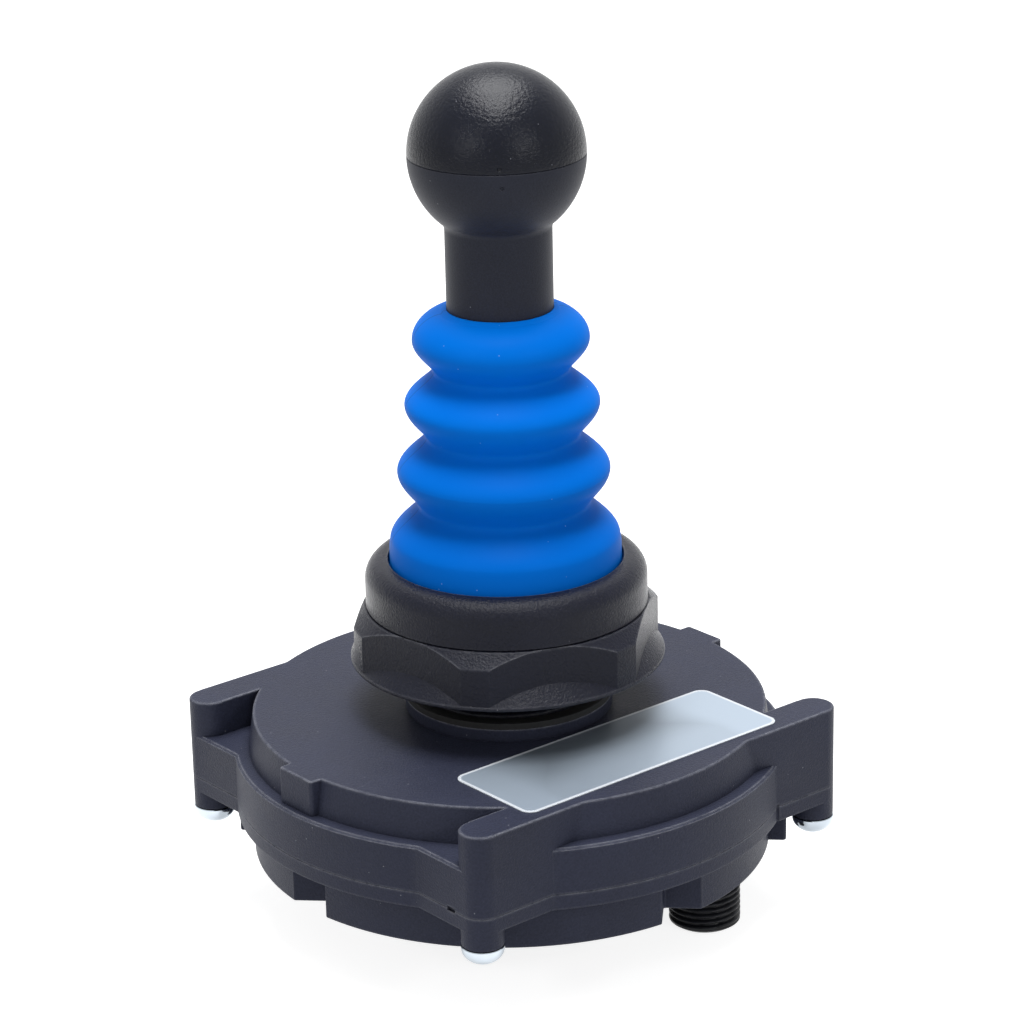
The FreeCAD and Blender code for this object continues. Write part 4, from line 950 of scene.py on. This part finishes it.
class JOYSTICK_OT_neck(bpy.types.Operator):
    """Builds the threaded neck with its flange, shelf and two blind bearing holes"""
    bl_idname = "joystick.neck"
    bl_label = "Threaded neck"

    def execute(self, context):
        sizes = context.scene.joystick_clamp
        housing = context.scene.joystick_housing
        outer, bore, top = sizes.neck_radius, sizes.neck_bore, sizes.neck_top
        under = housing.lid_under
        flange, seal_outer, seal_inner = 20 * MM, 19 * MM, 16.5 * MM
        foot, seal = under - 2.5 * MM, under - 1.2 * MM
        mouth, mouth_low = bore + 0.7 * MM, top - 2 * MM
        shelf, shelf_top, shelf_low = bore - 2.4 * MM, 6.25 * MM, 5.05 * MM
        profile = [(bore, foot), (flange, foot), (flange, under), (seal_outer, under), (seal_outer, seal),
                   (seal_inner, seal), (seal_inner, under), (outer, under), (outer, 0.0)]
        profile += thread_rows(outer, 0.0, top, 0.85 * MM, rows=130, run_out=24)
        profile += [(outer, top), (mouth, top), (mouth, mouth_low), (bore, mouth_low), (bore, shelf_top),
                    (shelf, shelf_top), (shelf, shelf_low), (bore, shelf_low)]
        neck = lathe("neck_thread", profile, steps=128, pitch=sizes.neck_pitch)
        bearing_radius, bearing_height, blind = 1.55 * MM, -1.15 * MM, outer - 0.3 * MM
        bearing = pin("bearing", (0, 0), bearing_radius, -blind, blind, steps=32)
        lying = Matrix.Rotation(math.pi / 2, 4, "Y")
        bearing.data.transform(Matrix.Translation((0, 0, bearing_height)) @ lying)
        combined(neck, "DIFFERENCE", [bearing])
        dressed(neck, finish("black_plastic"), sharp=50)
        seated(neck, HOUSING, "black_plastic", "threaded_neck")
        return {"FINISHED"}


class JOYSTICK_OT_nut(bpy.types.Operator):
    """Builds the mounting nut: a cone flange under a hexagon with turned corners"""
    bl_idname = "joystick.nut"
    bl_label = "Mounting nut"

    def execute(self, context):
        sizes = context.scene.joystick_clamp
        low, top = sizes.nut_under, sizes.nut_top
        corner, bevel = sizes.nut_corner, sizes.nut_chamfer
        reach = sizes.nut_flats / math.sqrt(3)
        turn = math.degrees(sizes.nut_turn)
        hex_round, hex_low = 0.5 * MM, low + 0.3 * MM
        outline = softened([(*polar(reach, turn + 60 * index), hex_round) for index in range(6)])
        nut = prism("panel_nut", outline, low, top + PAST)
        limit = lathe("limit", softened([(0, hex_low), (corner, hex_low), (corner, top - bevel, 0.5 * MM),
                                         (corner - bevel, top, 0.4 * MM), (0, top)]), steps=144)
        combined(nut, "INTERSECT", [limit])
        flange, flange_top, cone_top = sizes.nut_flange, low + 0.5 * MM, low + 3.6 * MM
        cone_reach = sizes.nut_flats / 2 - 0.3 * MM
        cone = lathe("cone", softened([(0, low), (flange, low, 0.15 * MM), (flange, flange_top, 0.3 * MM),
                                       (cone_reach, cone_top), (0, cone_top)]), steps=144)
        combined(nut, "UNION", [cone])
        thread = pin("thread", (0, 0), sizes.neck_radius, low - PAST, top + PAST, steps=128)
        combined(nut, "DIFFERENCE", [thread])
        dressed(nut, finish("black_plastic"), sharp=24)
        seated(nut, HOUSING, "black_plastic", "mounting_nut")
        return {"FINISHED"}


class JOYSTICK_OT_bezel(bpy.types.Operator):
    """Builds the bezel with its broad shoulder and the pocket for the bellows' bead"""
    bl_idname = "joystick.bezel"
    bl_label = "Bezel"

    def execute(self, context):
        sizes = context.scene.joystick_clamp
        outer, inner = sizes.bezel_radius, sizes.neck_radius
        low, top = sizes.nut_top, sizes.bezel_top
        mouth = context.scene.joystick_bellows.foot_radius + 0.25 * MM
        pocket, web, lip = bead_pocket(sizes)
        profile = softened([(inner, low), (outer, low, 0.3 * MM), (outer, top, sizes.bezel_round),
                            (mouth, top, 0.25 * MM), (mouth, lip), (pocket, lip), (pocket, web),
                            (inner, web)], steps=10)
        bezel = lathe("bezel_cap", profile, steps=160)
        dressed(bezel, finish("black_plastic"))
        seated(bezel, HOUSING, "black_plastic", "bezel_ring")
        return {"FINISHED"}


class JOYSTICK_OT_bellows(bpy.types.Operator):
    """Builds the bellows in two parts, from the bezel's pocket up to the knob's stem"""
    bl_idname = "joystick.bellows"
    bl_label = "Bellows"

    def side(self, sizes, inset, steps):
        """Runs of points from the foot to the top, each between a lobe and a valley, moved in by inset."""
        lobe_power, shoulder_power, shoulder_lift = 0.72, 1.25, 0.8
        turns = [(sizes.foot_radius, sizes.first_height - 1 * MM), (sizes.first_radius, sizes.first_height)]
        for index in range(1, 4):
            share = index / 3
            radius = sizes.first_radius * (1 - share) + sizes.last_radius * share
            height = sizes.first_height + index * sizes.pitch - index * (index - 1) / 2 * sizes.pitch_loss
            below = turns[-1]
            turns.append(((below[0] + radius) / 2 - sizes.valley_depth, (below[1] + height) / 2 + 0.3 * MM))
            turns.append((radius, height))
        runs = [[(radius - inset, height) for radius, height in turns[:2]]]
        for (start_radius, start), (end_radius, end) in zip(turns[1:], turns[2:]):
            lobe, valley = max(start_radius, end_radius), min(start_radius, end_radius)
            way = 1 if start_radius == lobe else -1
            run = []
            for step in range(steps + 1):
                share = step / steps
                rise = (1 + way * math.cos(math.pi * share)) / 2
                reach = valley + (lobe - valley) * rise ** lobe_power
                run.append((reach - inset, start + (end - start) * share))
            runs.append(run)
        radius, height = turns[-1]
        lip = bpy.context.scene.joystick_knob.stem_radius + 1 * MM
        drop = sizes.top - 0.5 * MM - height
        runs.append([(lip + (radius - lip) * math.cos(angle) ** shoulder_power - inset,
                      height + drop * math.sin(angle) - inset * math.sin(angle) * shoulder_lift)
                     for angle in [math.pi / 2 * step / steps for step in range(steps + 1)]])
        return runs

    def execute(self, context):
        sizes = context.scene.joystick_bellows
        outside = self.side(sizes, inset=0, steps=14)
        inside = self.side(sizes, inset=sizes.wall, steps=7)
        bead, web, lip = bead_pocket(context.scene.joystick_clamp)
        grip = context.scene.joystick_knob.stem_radius + 0.05 * MM
        first = [(sizes.foot_radius - sizes.wall, web), (bead, web), (bead, lip), (sizes.foot_radius, lip)]
        first += strung(outside[:3]) + strung(inside[:3])[::-1]
        last_out, last_in = strung(outside[3:]), strung(inside[3:])
        last_in[-1] = (grip, last_in[-1][1])
        second = last_out + [(last_out[-1][0] - 0.4 * MM, sizes.top), (grip, sizes.top)] + last_in[::-1]
        rubber = finish("bellows_rubber")
        lower = dressed(lathe("bellows_lower", first, steps=128), rubber, sharp=60, weighted=False)
        upper = dressed(lathe("bellows_upper", second, steps=128), rubber, sharp=60, weighted=False)
        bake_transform(lower)
        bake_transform(upper)
        for half in (lower, upper):
            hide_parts("bellows")
        return {"FINISHED"}


class JOYSTICK_OT_knob(bpy.types.Operator):
    """Builds the ball knob: a glossy cap on a satin ball and stem, with a fine seam"""
    bl_idname = "joystick.knob"
    bl_label = "Knob"

    def pit(self, sizes, name, side, height):
        """A small round cutter above or below the seam, some degrees aside from the front."""
        front = 319.5
        around = math.radians(front + side)
        tilt = math.asin(height / sizes.ball_radius)
        out = Vector((math.cos(tilt) * math.sin(around), -math.cos(tilt) * math.cos(around), math.sin(tilt)))
        place = Vector((0, 0, sizes.ball_middle)) + out * (sizes.ball_radius + sizes.pit * 0.45)
        form = bmesh.new()
        bmesh.ops.create_icosphere(form, subdivisions=3, radius=sizes.pit)
        made = mesh_object(name, form)
        made.data.transform(Matrix.Translation(place))
        return made

    def execute(self, context):
        sizes = context.scene.joystick_knob
        ball, middle, stem = sizes.ball_radius, sizes.ball_middle, sizes.stem_radius
        seam, bottom = sizes.seam, sizes.stem_bottom
        spigot, recess, bore, bore_top = 10 * MM, middle - 3 * MM, 6 * MM, bottom + 17 * MM
        rise = math.degrees(math.asin(seam / ball))
        cap_side = [(max(0, x), z) for x, z in arc((0, middle), ball, 90, rise, 48)]
        cap_side[0] = (0, middle + ball)
        cap = lathe("ball_cap", [*cap_side, (ball - seam, middle), (spigot, middle), (spigot, recess),
                                 (0, recess)], steps=144)
        joint_x = stem + sizes.stem_round
        joint_z = middle - math.sqrt((ball + sizes.stem_round) ** 2 - joint_x ** 2)
        meets = math.degrees(math.atan2(joint_z - middle, joint_x))
        lower_side = arc((0, middle), ball, -rise, meets, 34)
        lower_side += arc((joint_x, joint_z), sizes.stem_round, 180 + meets, 180, 8)[1:]
        end_bevel = 0.3 * MM
        body = lathe("ball_stem", [(0, recess), (spigot, recess), (spigot, middle), (ball - seam, middle),
                                   *lower_side, (stem, bottom + end_bevel), (stem - end_bevel, bottom),
                                   (bore, bottom), (bore, bore_top), (0, bore_top)], steps=144)
        combined(cap, "DIFFERENCE", [self.pit(sizes, "pit_upper", side=2.6, height=0.9 * MM)])
        combined(body, "DIFFERENCE", [self.pit(sizes, "pit_lower", side=4.0, height=-2.2 * MM)])
        dressed(cap, finish("knob_gloss"), sharp=30, weighted=False)
        dressed(body, finish("knob_matte"), sharp=30, weighted=False)
        seated(cap, LEVER, "knob_gloss", "knob_cap")
        seated(body, LEVER, "knob_matte", "knob_stem")
        return {"FINISHED"}


class JOYSTICK_OT_connector(bpy.types.Operator):
    """Builds the round connector's threaded shell with its socket"""
    bl_idname = "joystick.connector"
    bl_label = "Connector"

    def execute(self, context):
        sizes = context.scene.joystick_connector
        housing = context.scene.joystick_housing
        outer, bore, mouth, seat = sizes.radius, sizes.bore, sizes.mouth, housing.base_bottom
        bevel, taper, relief, lead_in = 0.2 * MM, 0.9 * MM, 0.9 * MM, 0.15 * MM
        start, end, inside = mouth + 0.5 * MM, seat - relief, seat + 6.5 * MM
        profile = [(bore, mouth + bevel), (bore + bevel, mouth), (outer - taper, mouth),
                   (outer - lead_in, start)]
        profile += thread_rows(outer, start, end, 0.62 * MM, rows=96, run_out=12)
        profile += [(outer, end), (outer, seat), (PLUG_HOLE, seat), (PLUG_HOLE, inside), (bore, inside)]
        shell = lathe("plug_shell", profile, steps=72, centre=(sizes.place_x, sizes.place_y),
                      pitch=sizes.pitch)
        dressed(shell, finish("connector_plastic"), sharp=50)
        seated(shell, HOUSING, "connector_plastic", "connector_shell")
        return {"FINISHED"}


class JOYSTICK_OT_label(bpy.types.Operator):
    """Builds the bare label plate with its pale border"""
    bl_idname = "joystick.label"
    bl_label = "Label plate"

    def execute(self, context):
        sizes = context.scene.joystick_label
        low = context.scene.joystick_housing.lid_top
        half, side, corner = sizes.length / 2, sizes.width / 2, sizes.corner
        front, back = sizes.middle - side, sizes.middle + side
        places = ((-half, front), (half, front), (half, back), (-half, back))
        outline = softened([(x, y, corner) for x, y in places], steps=10)
        plate = prism("label_sheet", outline, low, low + sizes.thickness, high_round=0.05 * MM)
        dressed(plate, finish("label_foil"), sharp=30)
        seated(plate, HOUSING, "label_foil", "label_plate")
        return {"FINISHED"}


class JOYSTICK_OT_inner_parts(bpy.types.Operator):
    """Gives every piece of the frame that stays in view its own finish"""
    bl_idname = "joystick.inner_parts"
    bl_label = "Inner parts"

    def execute(self, context):
        for part in frame["record"]["subparts"]:
            piece = frame["nodes"][part["node"]]
            if not piece.hide_render:
                piece.data.materials.clear()
                piece.data.materials.append(finish(part["material_slot"]))
        return {"FINISHED"}


OPERATORS = (
    JOYSTICK_OT_stage,
    JOYSTICK_OT_lid,
    JOYSTICK_OT_base,
    JOYSTICK_OT_screws,
    JOYSTICK_OT_neck,
    JOYSTICK_OT_nut,
    JOYSTICK_OT_bezel,
    JOYSTICK_OT_bellows,
    JOYSTICK_OT_knob,
    JOYSTICK_OT_connector,
    JOYSTICK_OT_label,
    JOYSTICK_OT_inner_parts,
)


class JOYSTICK_PT_pieces(bpy.types.Panel):
    """Lists the operators that build the joystick"""
    bl_idname = "JOYSTICK_PT_pieces"
    bl_label = "Joystick"
    bl_space_type = "VIEW_3D"
    bl_region_type = "UI"
    bl_category = "Joystick"

    def draw(self, context):
        for operator in OPERATORS:
            self.layout.operator(operator.bl_idname, text=operator.bl_label)


CLASSES = (*SETTINGS.values(), *OPERATORS, JOYSTICK_PT_pieces)


def register():
    for kind in CLASSES:
        bpy.utils.register_class(kind)
    for name, kind in SETTINGS.items():
        setattr(bpy.types.Scene, name, PointerProperty(type=kind))


def unregister():
    for name in SETTINGS:
        delattr(bpy.types.Scene, name)
    for kind in reversed(CLASSES):
        bpy.utils.unregister_class(kind)


def main():
    register()
    for operator in OPERATORS:
        group, name = operator.bl_idname.split(".")
        getattr(getattr(bpy.ops, group), name)()


if __name__ == "__main__":
    main()
